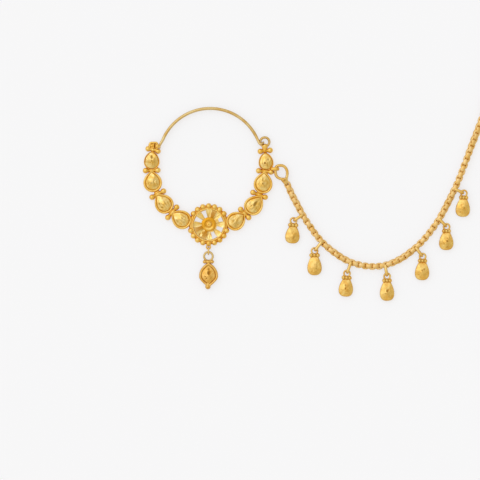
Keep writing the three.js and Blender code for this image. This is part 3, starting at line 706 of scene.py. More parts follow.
def makeFlower():
    petal = scratchObject("petal", petalMesh())
    carrier = scratchObject("petalCarrier", shell())
    mesh = bakedPiece("petals", carrier, petalTree(),
                      {"Piece": petal, "Count": flowerSize["petals"],
                       "Turn": 2 * math.pi / flowerSize["petals"], "Finish": stampedGold})
    bpy.data.objects.remove(petal)
    dent(mesh, petalMarks(), -1.0, 0.1)
    # Three of the gaps between petals are closed by a web of leaf, dark with painted shade.
    near, down = flowerSize["webFrom"], Vector((0, 0, flowerSize["webThick"]))
    for angle in flowerSize["webs"]:
        rings = []
        for distance, level in ((near, -0.05), (2.6, -0.08), (3.5, -0.05), (4.4, 0.08)):
            edge = [polar(distance, angle + turn, level) for turn in (-15, -7, 0, 7, 15)]
            rings.append(edge + [p - down for p in reversed(edge)])
        loft(mesh, rings, [1.0, 0.95, 0.8, 0.5])
    # The other gaps are closed only next to the cup, out to the distance given for each, with painted shade
    # next to the cup.
    for angle, end in flowerSize["shortWebs"].items():
        rings = []
        for distance in (near, 0.5 * (near + end), end):
            edge = [polar(distance, angle + turn, 0.02) for turn in (-14, -6, 6, 14)]
            rings.append(edge + [p - down for p in reversed(edge)])
        loft(mesh, rings, [0.8, 0.3, 0.0])
    mesh.transform(Matrix.Translation(flowerSize["middle"]))
    finishPiece("flowerPetals", mesh, stampedGold, "flower", sharp=50)


def makeCup():
    # Rows of height, radius and painted shade: darkest at the cup's outer edge, bright only on the lip's
    # crest.
    cup = [(-0.4, 0.02, 0.8), (-0.4, 1.0, 0.6), (0.0, 1.9, 0.6), (0.1, 2.05, 0.8), (0.17, 2.02, 1.0),
           (0.22, 1.85, 0.8), (0.26, 1.66, 0.6), (0.3, 1.54, 0.2), (0.31, 1.42, 0.0),
           (0.29, 1.3, 0.0), (0.25, 1.18, 0.1), (0.21, 1.06, 0.4), (0.17, 0.95, 0.5), (0.13, 0.6, 0.5),
           (0.12, 0.02, 0.5)]
    mesh = shell()
    lathe(mesh, cup, sides=64)
    # Painted shade darkens the whole cup except its lower side, where the lip is left as a painted
    # highlight.
    paintedShade = mesh.verts.layers.float["paintedShade"]
    for vert in mesh.verts:
        around = vert.co.y / max(0.01, math.hypot(vert.co.x, vert.co.y))
        vert[paintedShade] = max(vert[paintedShade], min(0.9, max(0.0, (around + 0.8) / 0.4)))
    mesh.transform(Matrix.Translation(flowerSize["middle"]))
    finishPiece("flowerCup", mesh, cupGold, "flower", sharp=50, sides=0.4)


def makeBoss():
    # Rows of height, radius and painted shade: dark at the boss's foot and its groove, with a painted dark
    # spot for the reflection in the dip at its top.
    profile = [(-0.05, 0.02, 1.0), (-0.05, 0.9, 1.0), (0.1, 0.98, 0.3), (0.18, 0.93, 0.3),
               (0.2, 0.82, 0.4), (0.26, 0.76, 0.3), (0.36, 0.7, 0.0), (0.44, 0.62, 0.0),
               (0.5, 0.5, 0.0), (0.54, 0.38, 0.0), (0.55, 0.26, 0.0), (0.53, 0.18, 0.6),
               (0.47, 0.1, 0.8), (0.45, 0.02, 0.8)]
    mesh = shell()
    lathe(mesh, profile, Vector(flowerSize["middle"]) + Vector((0, 0, 0.06)), sides=56)
    finishPiece("flowerBoss", mesh, polishedGold, "flower_centre", sharp=50, sides=0.2)


hinge = {"x": -15.975, "y": 5.9, "halfX": 1.125, "halfY": 0.96, "corner": 0.6, "wire": 0.33,
         "z": 1.1, "lumps": ((-0.44, 0.1, 0.0, 0.55), (-1.0, 0.25, -0.1, 0.52), (-0.35, -0.5, -0.1, 0.46)),
         "crests": ((0.45, 1.42), (0.02, 1.52), (-0.42, 1.42))}
coil = {"radius": 0.66, "wire": 0.19, "turns": 3, "reach": 0.38}
catch = {"x": 16.27, "y": 7.1, "radius": 1.3, "wire": 0.36, "z": 0.9}
sideLoop = {"x": 19.15, "y": -0.75, "corner": 0.82, "halfX": 1.05, "wire": 0.3, "strap": 1.65,
            "z": 1.17}
upright = Matrix.Rotation(math.pi / 2, 3, "X")


def makeEnds():
    mesh = shell()
    corner = hinge["corner"]
    eye = circle((hinge["x"], hinge["y"], hinge["z"]), corner, 48, start=3.75,
                 stretch=(2 * (hinge["halfX"] - corner), 2 * (hinge["halfY"] - corner)))
    tube(mesh, eye, hinge["wire"], 16, closed=True)
    # A bead joins the loop to the arc, and lumps of solder fill it beside the coil.
    ball(mesh, (hinge["x"] - 0.15, hinge["y"] - hinge["halfY"] - 0.1, linkZ), 0.58, 20)
    for x, y, z, radius in hinge["lumps"]:
        ball(mesh, (hinge["x"] + x, hinge["y"] + y, hinge["z"] + z), radius, 20)
    for way, level in hinge["crests"]:
        ball(mesh, (hinge["x"] - 0.04, hinge["y"] + way, level), 0.32, 16)
    # A small back plate closes the loop from below, under the coil, dark with painted shade.
    plate = circle((hinge["x"] + 0.1, hinge["y"], 0), 0.8, 32, start=6, stretch=(0.5, 0.2))
    loft(mesh, [[p + Vector((0, 0, level)) for p in plate] for level in (0.02, 0.2)], [0.8, 0.8])
    # The bud that the catch ring stands on, with a crease up its middle. Painted shade darkens its foot and
    # the crease.
    lathe(mesh, [(4.4, 0.5, 0.8), (4.48, 0.68, 0.5), (4.8, 0.7, 0.2), (5.2, 0.78, 0.0),
                 (5.6, 0.88, 0.0), (5.9, 0.92, 0.0), (6.15, 0.86, 0.0), (6.35, 0.7, 0.0),
                 (6.5, 0.5, 0.1), (6.6, 0.2, 0.2)], (catch["x"], 0, catch["z"]), (0, 1, 0), 28)
    ball(mesh, (catch["x"] - 0.97, catch["y"] - 0.88, 0.8), 0.42, 20)
    dent(mesh, [(catch["x"] - 0.15, 5.5, 0.13, 0.12, 6.0, 88, 0.5)], 1.2, 0.2)
    finishPiece("arcEnds", mesh, polishedGold, "hoop_frame", sharp=50)
    ring = shell()
    catchPath = circle((catch["x"], catch["y"], catch["z"]), catch["radius"], 64)
    tube(ring, catchPath, catch["wire"], 16, closed=True)
    finishPiece("catchRing", ring, springGold, "hoop_frame", sharp=50)


hoop = {"x": 0.46, "y": 1.86, "radius": 14.94, "wire": 0.45, "tipWire": 0.34, "filed": 0.11,
        "tail": 0.27, "z": 1.1, "from": 163, "to": 25}


def makeHoopWire():
    mesh = shell()
    arc = [Vector((hoop["x"], hoop["y"], 0)) + polar(hoop["radius"], angle / 2, hoop["z"])
           for angle in range(2 * hoop["from"], 2 * hoop["to"] - 1, -3)]
    arc[:4] = smoothPath([(-14.1, 6.2, hoop["z"]), (-13.93, 6.6, hoop["z"]), arc[4]], 3)[:-1]
    limb, y = catch["x"] - catch["radius"], catch["y"]
    tip = [(limb - 0.62, y + 0.3, 1.45), (limb - 0.28, y - 0.45, 1.7), (limb + 0.16, y - 0.6, 1.78),
           (limb + 0.68, y - 0.33, 1.5), (limb + 0.86, y - 0.12, 0.5)]
    bend = smoothPath([arc[-3]] + tip, 8)
    path = arc[:-3] + bend
    thin = len(arc) / len(path)

    def gauge(place):
        # Filed thinner at the heel, so that it swings past the loop.
        if place < thin - 0.03:
            return hoop["wire"] - hoop["filed"] * max(0.0, 1 - place / 0.05)
        return hoop["wire"] + (hoop["tipWire"] - hoop["wire"]) * min(1, (place - thin + 0.03) / 0.12)

    tube(mesh, path, gauge, 20)
    x, y, z = hinge["x"] + hinge["halfX"], hinge["y"], hinge["z"]
    side = x + coil["radius"]
    tail = smoothPath([(side, y - 0.5, z), (side + 0.01, y, z), (side + 0.12, y + 0.55, z)], 6)
    tube(mesh, tail, hoop["tail"], 14)
    finishPiece("hoopWire", mesh, springGold, "hoop_wire", body=wireBody, sharp=60)
    # The left end is rolled into a close coil round the loop's right limb, and rubbed bright.
    steps = 36
    helix = []
    for i in range(coil["turns"] * steps + 1):
        at = polar(coil["radius"], 360 * i / steps)
        offset = coil["reach"] * (2 * i / (coil["turns"] * steps) - 1)
        helix.append(Vector((x + at.x, y + offset, z + at.y)))
    rolled = shell()
    tube(rolled, helix, coil["wire"], 14)
    finishPiece("wireCoil", rolled, polishedGold, "hoop_wire", body=wireBody, sharp=60)


pendant = {"x": -0.07, "loopY": -23.38, "loopRadius": 0.56, "loopWire": 0.18, "loopPlus": 0.03,
           "linkWire": 0.22, "linkHalf": 0.66, "eyeY": -26.07, "eyeRadius": 1.26, "eyeWire": 0.31,
           "topY": -27.75, "widestY": -31.8, "tipY": -35.15, "width": 5.55, "lean": 0.04,
           "groove": 0.76, "clear": 0.14, "tipBeads": ((-0.22, 0.33, 0.82, 0.8), (-0.12, 0.95, 0.76, 0.74))}


def makeSmallLoops():
    mesh = shell()
    tube(mesh, circle((sideLoop["x"], sideLoop["y"], sideLoop["z"]), sideLoop["corner"], 40, upright,
                      (2 * (sideLoop["halfX"] - sideLoop["corner"]), 0), 4.5),
         sideLoop["wire"], 14, closed=True)
    # It is cut from strap, wider across the loop than thick.
    for vert in mesh.verts:
        vert.co.y = sideLoop["y"] + sideLoop["strap"] * (vert.co.y - sideLoop["y"])
    ball(mesh, (18.7, -1.75, 0.5), 0.38, 20)
    tube(mesh, circle((pendant["x"], pendant["loopY"], linkZ), pendant["loopRadius"], 32),
         pendant["loopWire"] + pendant["loopPlus"], 14, closed=True)
    finishPiece("smallLoops", mesh, polishedGold, "hoop_frame", sharp=50)


def almondOutline(inset=0.0):
    half = pendant["width"] / 2 - inset
    top = pendant["topY"] - pendant["widestY"] - 1.3 * inset
    bottom = pendant["tipY"] - pendant["widestY"] + 1.3 * inset
    corners = [((0, top), (-0.64 * half, 0.77 * top), (-half, 0.42 * top), (-half, 0)),
               ((-half, 0), (-half, 0.36 * bottom), (-0.42 * half, 0.7 * bottom), (0, bottom)),
               ((0, bottom), (0.42 * half, 0.7 * bottom), (half, 0.36 * bottom), (half, 0)),
               ((half, 0), (half, 0.42 * top), (0.64 * half, 0.77 * top), (0, top))]
    outline = []
    for span in corners:
        outline += bezier(*[Vector((x, y, 0)) for x, y in span], 14)
    return outline


def makePendant():
    mesh = shell()
    centre = Vector((pendant["x"] + pendant["lean"], pendant["widestY"], 0))
    collet(mesh, almondOutline, pendant["groove"],
           lambda points, z: [p + centre + Vector((0, 0, z)) for p in points])
    # The collar between ring and collet: a bar with a bead at each end, with painted shade at its waists.
    side = [(0.0, 0.56, 0.0), (0.3, 0.54, 0.0), (0.6, 0.46, 0.3), (0.78, 0.48, 0.2), (1.0, 0.53, 0.0),
            (1.2, 0.53, 0.0), (1.44, 0.42, 0.0), (1.62, 0.2, 0.1)]
    profile = [(-along, wide, shade) for along, wide, shade in side[:0:-1]] + side
    lathe(mesh, profile, (pendant["x"], pendant["topY"] + 0.12, linkZ), (1, 0, 0), 22)
    # A blunt bead of solder, from two balls, sits over the tip.
    for x, up, z, radius in pendant["tipBeads"]:
        ball(mesh, (x, pendant["tipY"] + up, z), radius, 22)
    finishPiece("pendantSetting", mesh, pendantGold, "pendant_setting", sharp=60)
    ring = shell()
    tube(ring, circle((pendant["x"], pendant["eyeY"], linkZ), pendant["eyeRadius"], 56),
         pendant["eyeWire"], 16, closed=True)
    finishPiece("pendantRing", ring, springGold, "pendant_setting", sharp=60)
    dome = shell()
    cuts = rimCuts + [(160, 17, 1.96), (85, 15, 1.95), (215, 14, 1.93), (335, 15, 1.94),
                      (270, 13, 1.95), (25, 13, 1.92)]
    cushion(dome, almondOutline(pendant["groove"] - 0.02), domeSize, cuts, 21)
    dent(dome, [(0.17, 0.95, 0.62, 0.26, 1.2, 70, 1.0), (0.15, 2.0, 0.4, 0.12, 1.4, 90, 0.8),
                (-0.96, -0.17, 0.24, 0.12, 1.2, 20, 0.9), (-0.6, -0.68, 0.24, 0.12, 1.2, 60, 0.9),
                (-1.25, 0.35, 0.17, -0.09, 2.6, 70, 0), (0.7, -0.6, 0.13, 0.06, 6.0, 50, 0.35),
                (0.9, 0.6, 0.15, -0.07, 3.5, 100, 0)], domeSize["girdle"])
    dome.transform(Matrix.Translation(centre))
    finishPiece("pendantDome", dome, pendantGold, "pendant_pear", sharp=45)


def uprightLoop(mesh, start, stop, half, wire, strap=1.0):
    # A long loop standing on edge between two points of the lying plane, of round wire or of
    # strap that is wider across the loop.
    start, stop = Vector(start), Vector(stop)
    way = (stop - start).normalized()
    across = way.cross(Vector((0, 0, 1)))
    turn = Matrix((way, (0, 0, 1), across)).transposed()
    path = circle((start + stop) / 2, half, 48, turn, ((stop - start).length - 2 * half, 0), 3.75)
    first = len(mesh.verts)
    tube(mesh, path, wire, 12, closed=True)
    mesh.verts.ensure_lookup_table()
    for vert in mesh.verts[first:]:
        vert.co += across * (vert.co - start).dot(across) * (strap - 1)


def makePendantLink():
    mesh = shell()
    space = pendant["clear"] + pendant["linkWire"]
    top = pendant["loopY"] - pendant["loopRadius"] + pendant["loopWire"] + space
    bottom = pendant["eyeY"] + pendant["eyeRadius"] - pendant["eyeWire"] - space
    uprightLoop(mesh, (pendant["x"], top, linkZ), (pendant["x"], bottom, linkZ),
                pendant["linkHalf"], pendant["linkWire"])
    finishPiece("pendantLink", mesh, wireGold, "pendant_link", sharp=60)


chainHook = {"wire": 0.42, "flat": 0.78}
chainLink = {"pitch": 1.0, "across": 0.71, "along": 0.78, "thick": 0.29, "band": 0.66, "square": 0.62,
             "steps": 28, "shade": 0.2, "pastEnd": 0.66, "flat": 0.72}
chainRoute = [(22.87, -5.32), (24.25, -8.4), (25.9, -11.5), (27.5, -14.5), (29.4, -17.4),
              (31.4, -20.2), (33.8, -22.8), (36.5, -25.0), (39.4, -26.9), (42.6, -28.2),
              (46.0, -28.9), (49.5, -28.9), (52.8, -28.1), (55.9, -26.6), (58.7, -24.6),
              (61.3, -22.3), (63.6, -19.7), (65.7, -16.9), (67.5, -14.0), (69.9, -9.4),
              (72.1, -4.7), (74.0, 0.1), (75.8, 5.0), (77.7, 9.9), (80.1, 16.6)]
# Place along the chain, lean and reach of the jump ring, then the drop's turn, length and how
# wide its cap is squeezed.
drops = [
    (9.75, 213.4, 3.18, -4, 0.944, 0.97), (19.3, 232.4, 3.44, 0, 1.014, 1.0),
    (29.7, 250.7, 3.49, -4, 0.971, 0.96), (39.8, 279.8, 3.28, 0, 1.026, 0.91),
    (50.15, 307.1, 3.3, -2, 0.986, 0.89), (60.9, 312.9, 3.13, -1, 0.973, 0.85),
    (70.7, 333.9, 2.97, -4, 0.984, 0.88)]
ringSize = {"wire": 0.27, "half": 0.66, "hold": 0.15, "strap": 1.6}
dropSize = {"eye": 0.88, "eyeWire": 0.26, "capY": -1.24, "beadX": 1.22, "top": -1.5,
            "bottom": -6.95, "width": 4.2, "belly": 0.35}


def makeChainHook():
    # A drop-shaped ring that passes through the side loop, with a tapering neck to the chain.
    limb = smoothPath([(22.6, -3.3, 1.0), (22.78, -2.3, 1.07), (22.68, -1.2, 1.12), (22.2, -0.3, 1.14),
                       (21.45, 0.2, 1.15), (20.75, 0.27, 1.16), (20.12, 0.2, 1.17),
                       (19.62, -0.12, 1.17), (19.39, -0.75, 1.17), (19.35, -1.6, 1.16),
                       (19.52, -2.5, 1.12), (20.05, -3.2, 1.06), (20.9, -3.6, 1.0), (21.8, -3.65, 0.97)])
    mesh = shell()
    tube(mesh, limb, chainHook["wire"], 16)
    first = len(mesh.verts)
    # Painted shade darkens both ends of the neck and a dent on it where it meets the chain.
    lathe(mesh, [(-1.3, 0.1, 0.8), (-1.22, 0.38, 0.8), (-0.95, 0.55, 0.5), (-0.6, 0.68, 0.1),
                 (-0.1, 0.83, 0.0), (0.35, 0.97, 0.0), (0.7, 1.05, 0.0), (0.95, 0.9, 0.2),
                 (1.05, 0.4, 0.4)], (22.22, -4.3, linkZ), polar(1, 115), 28)
    mesh.verts.ensure_lookup_table()
    for vert in mesh.verts[first:]:
        vert.co.z = linkZ + chainHook["flat"] * (vert.co.z - linkZ)
    dent(mesh, [(21.98, -4.05, 0.5, 0.2, 1.0, 0, 0.8)], 1.2, 0.2)
    finishPiece("chainHook", mesh, wireGold, "chain_hook", sharp=60)


def chainTree():
    # Lays links along a curve: each is turned a quarter round the chain against its neighbour,
    # and the whole chain rocks slowly from side to side.
    lean, rock, slow = math.radians(10), math.radians(16), 0.31
    tree, given = repeatTree("belcher links on a chain")
    points = addNode(tree, "GeometryNodeCurveToPoints", {"Curve": given["Geometry"],
                                                          "Count": given["Count"]}, mode="COUNT")
    index = addNode(tree, "GeometryNodeInputIndex").outputs["Index"]
    quarter = addNode(tree, "ShaderNodeMath", {0: index, 1: given["Turn"], 2: lean},
                      operation="MULTIPLY_ADD")
    phase = addNode(tree, "ShaderNodeMath", {0: index, 1: slow}, operation="MULTIPLY")
    wave = addNode(tree, "ShaderNodeMath", {0: phase.outputs[0]}, operation="SINE")
    angle = addNode(tree, "ShaderNodeMath", {0: wave.outputs[0], 1: rock, 2: quarter.outputs[0]},
                    operation="MULTIPLY_ADD")
    roll = addNode(tree, "ShaderNodeCombineXYZ", {"Z": angle.outputs[0]})
    turned = addNode(tree, "FunctionNodeRotateRotation",
                     {"Rotation": points.outputs["Rotation"], "Rotate By": roll.outputs["Vector"]},
                     rotation_space="LOCAL")
    return placeCopies(tree, given, points.outputs["Points"], turned.outputs["Rotation"])


chainPath = smoothPath([(x, y, linkZ) for x, y in chainRoute], 12)
chainAlong = [0.0]
for start, stop in zip(chainPath, chainPath[1:]):
    chainAlong.append(chainAlong[-1] + (stop - start).length)


def onChain(distance):
    for i, along in enumerate(chainAlong[1:], 1):
        if along >= distance:
            part = (distance - chainAlong[i - 1]) / (along - chainAlong[i - 1])
            return chainPath[i - 1].lerp(chainPath[i], part)
    return chainPath[-1]


def makeChain():
    # One belcher link: a square-shouldered ring about Y, with the chain along Z, of a wide band.
    mesh = shell()
    paintedShade = mesh.verts.layers.float["paintedShade"]
    across, along = chainLink["across"], chainLink["along"]
    ring = []
    for i in range(chainLink["steps"]):
        turn = 2 * math.pi * (i + 0.5) / chainLink["steps"]
        x, z = [math.copysign(abs(part) ** chainLink["square"], part)
                for part in (math.cos(turn), math.sin(turn))]
        ring.append(Vector((across * x, 0, along * z)))
    tube(mesh, ring, chainLink["thick"], 8, closed=True)
    # Painted shade on the inside of the link, where its neighbours shade it.
    inner = across - 0.5 * chainLink["thick"]
    for vert in mesh.verts:
        if abs(vert.co.x) < inner and abs(vert.co.z) < along:
            vert[paintedShade] = chainLink["shade"]
        vert.co.y *= chainLink["band"] / chainLink["thick"]
    seed = scratchObject("chainLinkSeed", mesh)
    way = (chainPath[-1] - chainPath[-2]).normalized()
    reach = chainLink["pastEnd"]  # the last link goes through the hair hook's eye
    curve = curveObject("chainCurve", chainPath + [chainPath[-1] + reach * way])
    count = round((chainAlong[-1] + reach) / chainLink["pitch"]) + 1
    links = bakedPiece("links", curve, chainTree(),
                       {"Piece": seed, "Count": count, "Turn": math.radians(90),
                        "Finish": linkGold})
    bpy.data.objects.remove(seed)
    # The finished chain is rolled a little flat.
    for vert in links.verts:
        vert.co.z = linkZ + chainLink["flat"] * (vert.co.z - linkZ)
    finishPiece("chainLinks", links, linkGold, "chain", sharp=80, sides=0.15)


def dropOutline(length):
    # Half widths of the drop, from its bottom to its neck, as shares of width and length.
    rows = [(0.0, 0.0), (0.12, 0.004), (0.22, 0.02), (0.32, 0.058), (0.39, 0.11), (0.45, 0.18),
            (0.485, 0.26), (0.5, 0.35), (0.5, 0.43), (0.488, 0.51), (0.46, 0.6), (0.42, 0.7),
            (0.37, 0.79), (0.315, 0.88), (0.26, 0.96), (0.2, 1.0)]
    bottom = dropSize["bottom"] * length
    height = dropSize["top"] - bottom
    half = [Vector((r * dropSize["width"], bottom + h * height, 0)) for r, h in rows]
    return half + [Vector((-p.x, p.y, 0)) for p in reversed(half[1:])]


# A drop is a puffed cushion, round at its edge and cut over the top.
puffed = {"base": 0.0, "girdle": 0.95, "top": 2.0, "rows": 15, "wave": 0.07, "waveMm": 0.75,
          "steep": 1.3}
puffedUnder = [(0.3, 0.0), (0.62, 0.03), (0.82, 0.17), (0.93, 0.4), (0.985, 0.68)]
# Facets and marks are about the middle of each drop, in the drop's own directions.
dropCuts = [
    {"facets": [(165, 17, 1.92), (215, 14, 1.9), (340, 18, 1.9), (80, 14, 1.94), (280, 13, 1.92),
                (20, 12, 1.88)],
     "marks": [(0.5, -0.5, 0.4, 0.16, 1.8, 70, 0.5), (-0.4, 0.6, 0.16, -0.09, 4.0, 80, 0),
               (0.2, 1.2, 0.16, 0.1, 3.0, 40, 0.6), (-0.7, -1.2, 0.14, 0.08, 3.4, 120, 0.6)]},
    {"facets": [(150, 17, 1.93), (300, 14, 1.9), (30, 13, 1.9), (215, 14, 1.92), (90, 12, 1.94),
                (265, 10, 1.92)],
     "marks": [(-0.4, 0.3, 0.2, -0.11, 5.5, 82, 0), (-0.05, -1.4, 0.16, -0.09, 4.2, 32, 0),
               (0.1, 0.5, 0.14, 0.09, 5.0, 80, 0.7), (0.7, -0.6, 0.16, 0.08, 3.4, 130, 0.5),
               (-0.8, -1.2, 0.14, 0.08, 3.2, 60, 0.5)]},
    {"facets": [(160, 16, 1.93), (340, 15, 1.92), (270, 13, 1.95), (95, 14, 1.95), (210, 13, 1.9),
                (30, 15, 1.92)],
     "marks": [(-0.05, 0.1, 0.34, 0.2, 1.4, 90, 1.0), (-0.05, 1.1, 0.4, 0.14, 1.3, 80, 0.8),
               (-1.2, 0.0, 0.17, -0.1, 3.4, 85, 0), (0.95, 0.1, 0.16, -0.09, 2.6, 95, 0),
               (0.3, -1.4, 0.16, 0.08, 3.4, 15, 0.5)]},
    {"facets": [(160, 17, 1.93), (330, 15, 1.9), (250, 14, 1.95), (95, 14, 1.94), (205, 13, 1.9),
                (25, 14, 1.92)],
     "marks": [(0.15, 0.5, 0.5, 0.22, 1.3, 50, 1.0), (-0.4, -0.45, 0.2, 0.12, 1.3, 0, 0.9),
               (-0.5, 1.45, 0.17, -0.1, 3.0, 80, 0), (-0.8, -0.15, 0.18, -0.1, 3.2, 70, 0),
               (0.7, -1.0, 0.14, 0.08, 3.6, 120, 0.5)]},
    {"facets": [(200, 17, 1.93), (330, 13, 1.9), (90, 15, 1.94), (150, 14, 1.92), (270, 13, 1.92),
                (30, 12, 1.9)],
     "marks": [(0.1, 0.6, 0.34, 0.18, 1.4, 70, 0.9), (0.6, 0.85, 0.28, 0.16, 1.3, 90, 0.9),
               (-0.95, -0.8, 0.22, 0.14, 1.3, 40, 0.8), (-0.55, -1.4, 0.22, 0.12, 1.3, 0, 0.8),
               (-1.05, 0.3, 0.18, -0.1, 3.6, 80, 0), (-0.9, -1.3, 0.15, -0.09, 2.4, 20, 0)]},
    {"facets": [(215, 17, 1.92), (20, 14, 1.92), (110, 16, 1.95), (160, 14, 1.93), (310, 15, 1.9),
                (265, 13, 1.9)],
     "marks": [(0.3, 0.35, 0.32, 0.22, 1.5, 160, 1.0), (0.25, 1.3, 0.34, 0.14, 1.4, 90, 0.8),
               (-0.35, -0.4, 0.24, -0.12, 5.0, -46, 0), (0.2, -1.4, 0.24, 0.14, 1.3, 0, 0.9),
               (-1.1, 0.3, 0.15, 0.08, 3.0, 80, 0.5)]},
    {"facets": [(205, 15, 1.92), (60, 12, 1.93), (330, 15, 1.9), (135, 15, 1.94), (270, 14, 1.92),
                (10, 14, 1.92)],
     "marks": [(0.0, -0.1, 0.3, -0.13, 4.6, -50, 0), (0.5, 0.3, 0.14, 0.09, 4.6, -50, 0.6),
               (-0.7, -1.0, 0.2, 0.12, 1.8, 30, 0.8), (-0.5, 1.2, 0.2, 0.12, 1.6, 80, 0.7)]},
]


def makeDrops():
    for i, (along, lean, reach, turn, length, squeeze) in enumerate(drops):
        start = onChain(along)
        way = polar(1.0, lean)
        eye = Vector((start.x + way.x * reach, start.y + way.y * reach, 0))
        ringMesh = shell()
        far = reach - dropSize["eye"] + dropSize["eyeWire"] + ringSize["hold"] + ringSize["wire"]
        uprightLoop(ringMesh, start - way * ringSize["hold"], start + way * far, ringSize["half"],
                    ringSize["wire"], ringSize["strap"])
        finishPiece("jumpRing_%d" % (i + 1), ringMesh, wireGold, "drop_link_%d" % (i + 1), sharp=60)

        outline = dropOutline(length)
        halfWay = 0.5 * (dropSize["top"] + dropSize["bottom"] * length)
        middle = Vector((0, halfWay - dropSize["belly"], 0))
        body = shell()
        cushion(body, [p - middle for p in outline], puffed, dropCuts[i]["facets"], 30 + i,
                puffedUnder)
        dent(body, dropCuts[i]["marks"], puffed["girdle"] + 0.2, 0.4)
        body.transform(Matrix.Translation(middle))
        tube(body, circle((0, 0, linkZ), dropSize["eye"], 40), dropSize["eyeWire"], 14, closed=True)
        bead = dropSize["beadX"]
        # The cap's profile: along, width and painted shade, darkest at its waist.
        side = [(0.0, 0.62, 0.1), (0.2, 0.6, 0.1), (0.38, 0.5, 0.5), (0.48, 0.45, 0.8),
                (0.58, 0.5, 0.5), (0.74, 0.61, 0.1), (0.92, 0.66, 0.0), (bead - 0.1, 0.63, 0.0),
                (bead + 0.08, 0.52, 0.0), (bead + 0.24, 0.34, 0.0), (bead + 0.33, 0.14, 0.1)]
        side = [(at * squeeze, wide, shade) for at, wide, shade in side]
        profile = [(-at, wide, shade) for at, wide, shade in side[:0:-1]] + side
        lathe(body, profile, (0, dropSize["capY"], linkZ), (1, 0, 0), 20)
        body.transform(Matrix.Translation(eye) @ Matrix.Rotation(math.radians(turn), 4, "Z"))
        finishPiece("drop_%d_cut" % (i + 1), body, dropGold, "drop_%d" % (i + 1), sharp=50)


hairHook = {"eye": 1.2, "wire": 0.43, "fromEnd": 1.95}


def makeHairHook():
    path = smoothPath([(0, 1.2, 0), (0, 4, 0), (0.1, 7.5, 0), (-0.6, 9.6, 0), (-2.2, 9.9, 0),
                       (-3.0, 8.4, 0), (-2.95, 6.2, 0)], 10)
    mesh = shell()
    tube(mesh, circle((0, 0, 0), hairHook["eye"], 48), hairHook["wire"], 16, closed=True)
    tube(mesh, path, hairHook["wire"], 16)
    end, before = chainPath[-1], chainPath[-2]
    way = (end - before).normalized()
    place = end + way * hairHook["fromEnd"]
    mesh.transform(Matrix.Translation(place)
                   @ Matrix.Rotation(math.atan2(way.y, way.x) - math.pi / 2, 4, "Z"))
    finishPiece("hairHook", mesh, wireGold, "hair_hook", sharp=60)


makeCollets()
makeDomes()
makeGranulePairs()
makeBackWire()
makeMedallionRim()
makeGranuleBorder()
makeFlower()
makeCup()
makeBoss()
makeEnds()
makeSmallLoops()
makeHoopWire()
print("ring made")
makePendant()
makePendantLink()
makeChainHook()
makeChain()
makeDrops()
makeHairHook()
print("chain and drops made")


studio = {"viewMm": 139.2, "centre": (9.08, -4.42), "height": 1.2, "floor": 6.0, "panel": "#9a9a9a",
          "glow": 0.651, "tint": (0.974, 0.974, 1.0, 1.0)}


def makeFloor():
    # An opal light panel: it glows evenly and takes only faint shadows.
    material = bpy.data.materials.new("opal light panel")
    material.use_nodes = True
    tree = material.node_tree
    shader = tree.nodes["Principled BSDF"]
    place = addNode(tree, "ShaderNodeTexCoord").outputs["Object"]
    grain = addNode(tree, "ShaderNodeTexNoise", {"Vector": place, "Scale": 900.0})
    bump = addNode(tree, "ShaderNodeBump", {"Height": grain.outputs["Fac"], "Strength": 0.02,
                                             "Distance": 0.0001})
    tree.links.new(bump.outputs["Normal"], shader.inputs["Normal"])
    shader.inputs["Base Color"].default_value = linearColour(studio["panel"])
    shader.inputs["Roughness"].default_value = 0.9
    shader.inputs["Specular IOR Level"].default_value = 0.0
    shader.inputs["Emission Color"].default_value = studio["tint"]  # a trace of blue
    shader.inputs["Emission Strength"].default_value = studio["glow"]
    bpy.ops.mesh.primitive_plane_add(size=studio["floor"], location=(0, 0, 0))
    floor = bpy.context.object
    floor.name = "floor"
    floor.data.materials.append(material)


tent = {"key": (140, 54), "strength": 1.0, "folds": (0.88, 1.14),
        "levels": [(0.0, (0.7, 0.67, 0.54)), (0.45, (0.79, 0.76, 0.65)), (0.72, (0.9, 0.89, 0.85)),
               (0.88, (1.08, 1.11, 1.2)), (0.94, (1.12, 1.16, 1.27)), (1.0, (1.5, 1.53, 1.6))]}


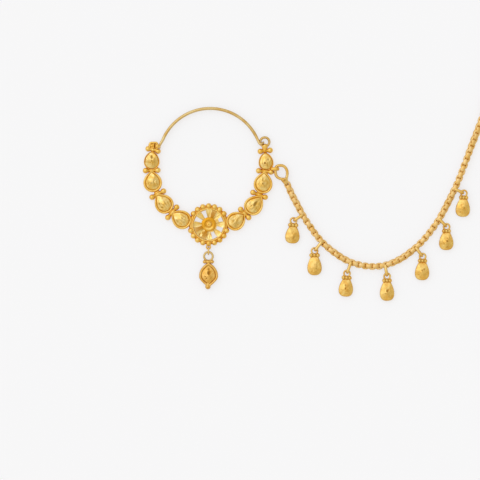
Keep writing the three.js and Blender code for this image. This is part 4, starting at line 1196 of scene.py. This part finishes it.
def makeLight():
    # A white tent lit from the upper left: the metal sees a soft bright side and a dimmer one,
    # with slow folds in the cloth.
    world = bpy.data.worlds.new("studio tent")
    bpy.context.scene.world = world
    world.use_nodes = True
    tree = world.node_tree
    tree.nodes.clear()
    way = addNode(tree, "ShaderNodeTexCoord").outputs["Generated"]
    azimuth, height = tent["key"]
    key = polar(math.cos(math.radians(height)), azimuth, math.sin(math.radians(height)))
    facing = addNode(tree, "ShaderNodeVectorMath", {0: way, 1: key}, operation="DOT_PRODUCT")
    ramp = addNode(tree, "ShaderNodeValToRGB", {"Fac": facing.outputs["Value"]})
    stops = ramp.color_ramp
    stops.interpolation = "EASE"
    for i, (position, level) in enumerate(tent["levels"]):
        if i == 0:
            stop = stops.elements[0]
        elif i == 1:
            stop = stops.elements[1]
        else:
            stop = stops.elements.new(position)
        stop.position = position
        stop.color = (*level, 1)
    folds = addNode(tree, "ShaderNodeTexNoise", {"Vector": way, "Scale": 2.4, "Detail": 1.0})
    cloth = addNode(tree, "ShaderNodeMapRange", {"Value": folds.outputs["Fac"], "From Min": 0.35,
                                                  "From Max": 0.65, "To Min": tent["folds"][0],
                                                  "To Max": tent["folds"][1]})
    light = addNode(tree, "ShaderNodeVectorMath", {0: ramp.outputs["Color"],
                                                    "Scale": cloth.outputs["Result"]},
                    operation="SCALE")
    background = addNode(tree, "ShaderNodeBackground", {"Color": light.outputs["Vector"],
                                                         "Strength": tent["strength"]})
    addNode(tree, "ShaderNodeOutputWorld", {"Surface": background.outputs["Background"]})


def makeCamera():
    camera = bpy.data.cameras.new("camera")
    camera.sensor_width = 36
    camera.clip_end = 20
    width = studio["viewMm"] * 0.001
    camera.lens = camera.sensor_width * studio["height"] / width
    item = bpy.data.objects.new("camera", camera)
    x, y = studio["centre"]
    item.location = drawing @ Vector((x, medallionY + y, 0)) + Vector((0, 0, studio["height"]))
    bpy.context.scene.collection.objects.link(item)
    bpy.context.scene.camera = item


makeFloor()
makeLight()
makeCamera()
bpy.context.scene.view_settings.view_transform = "Standard"
print("studio made")
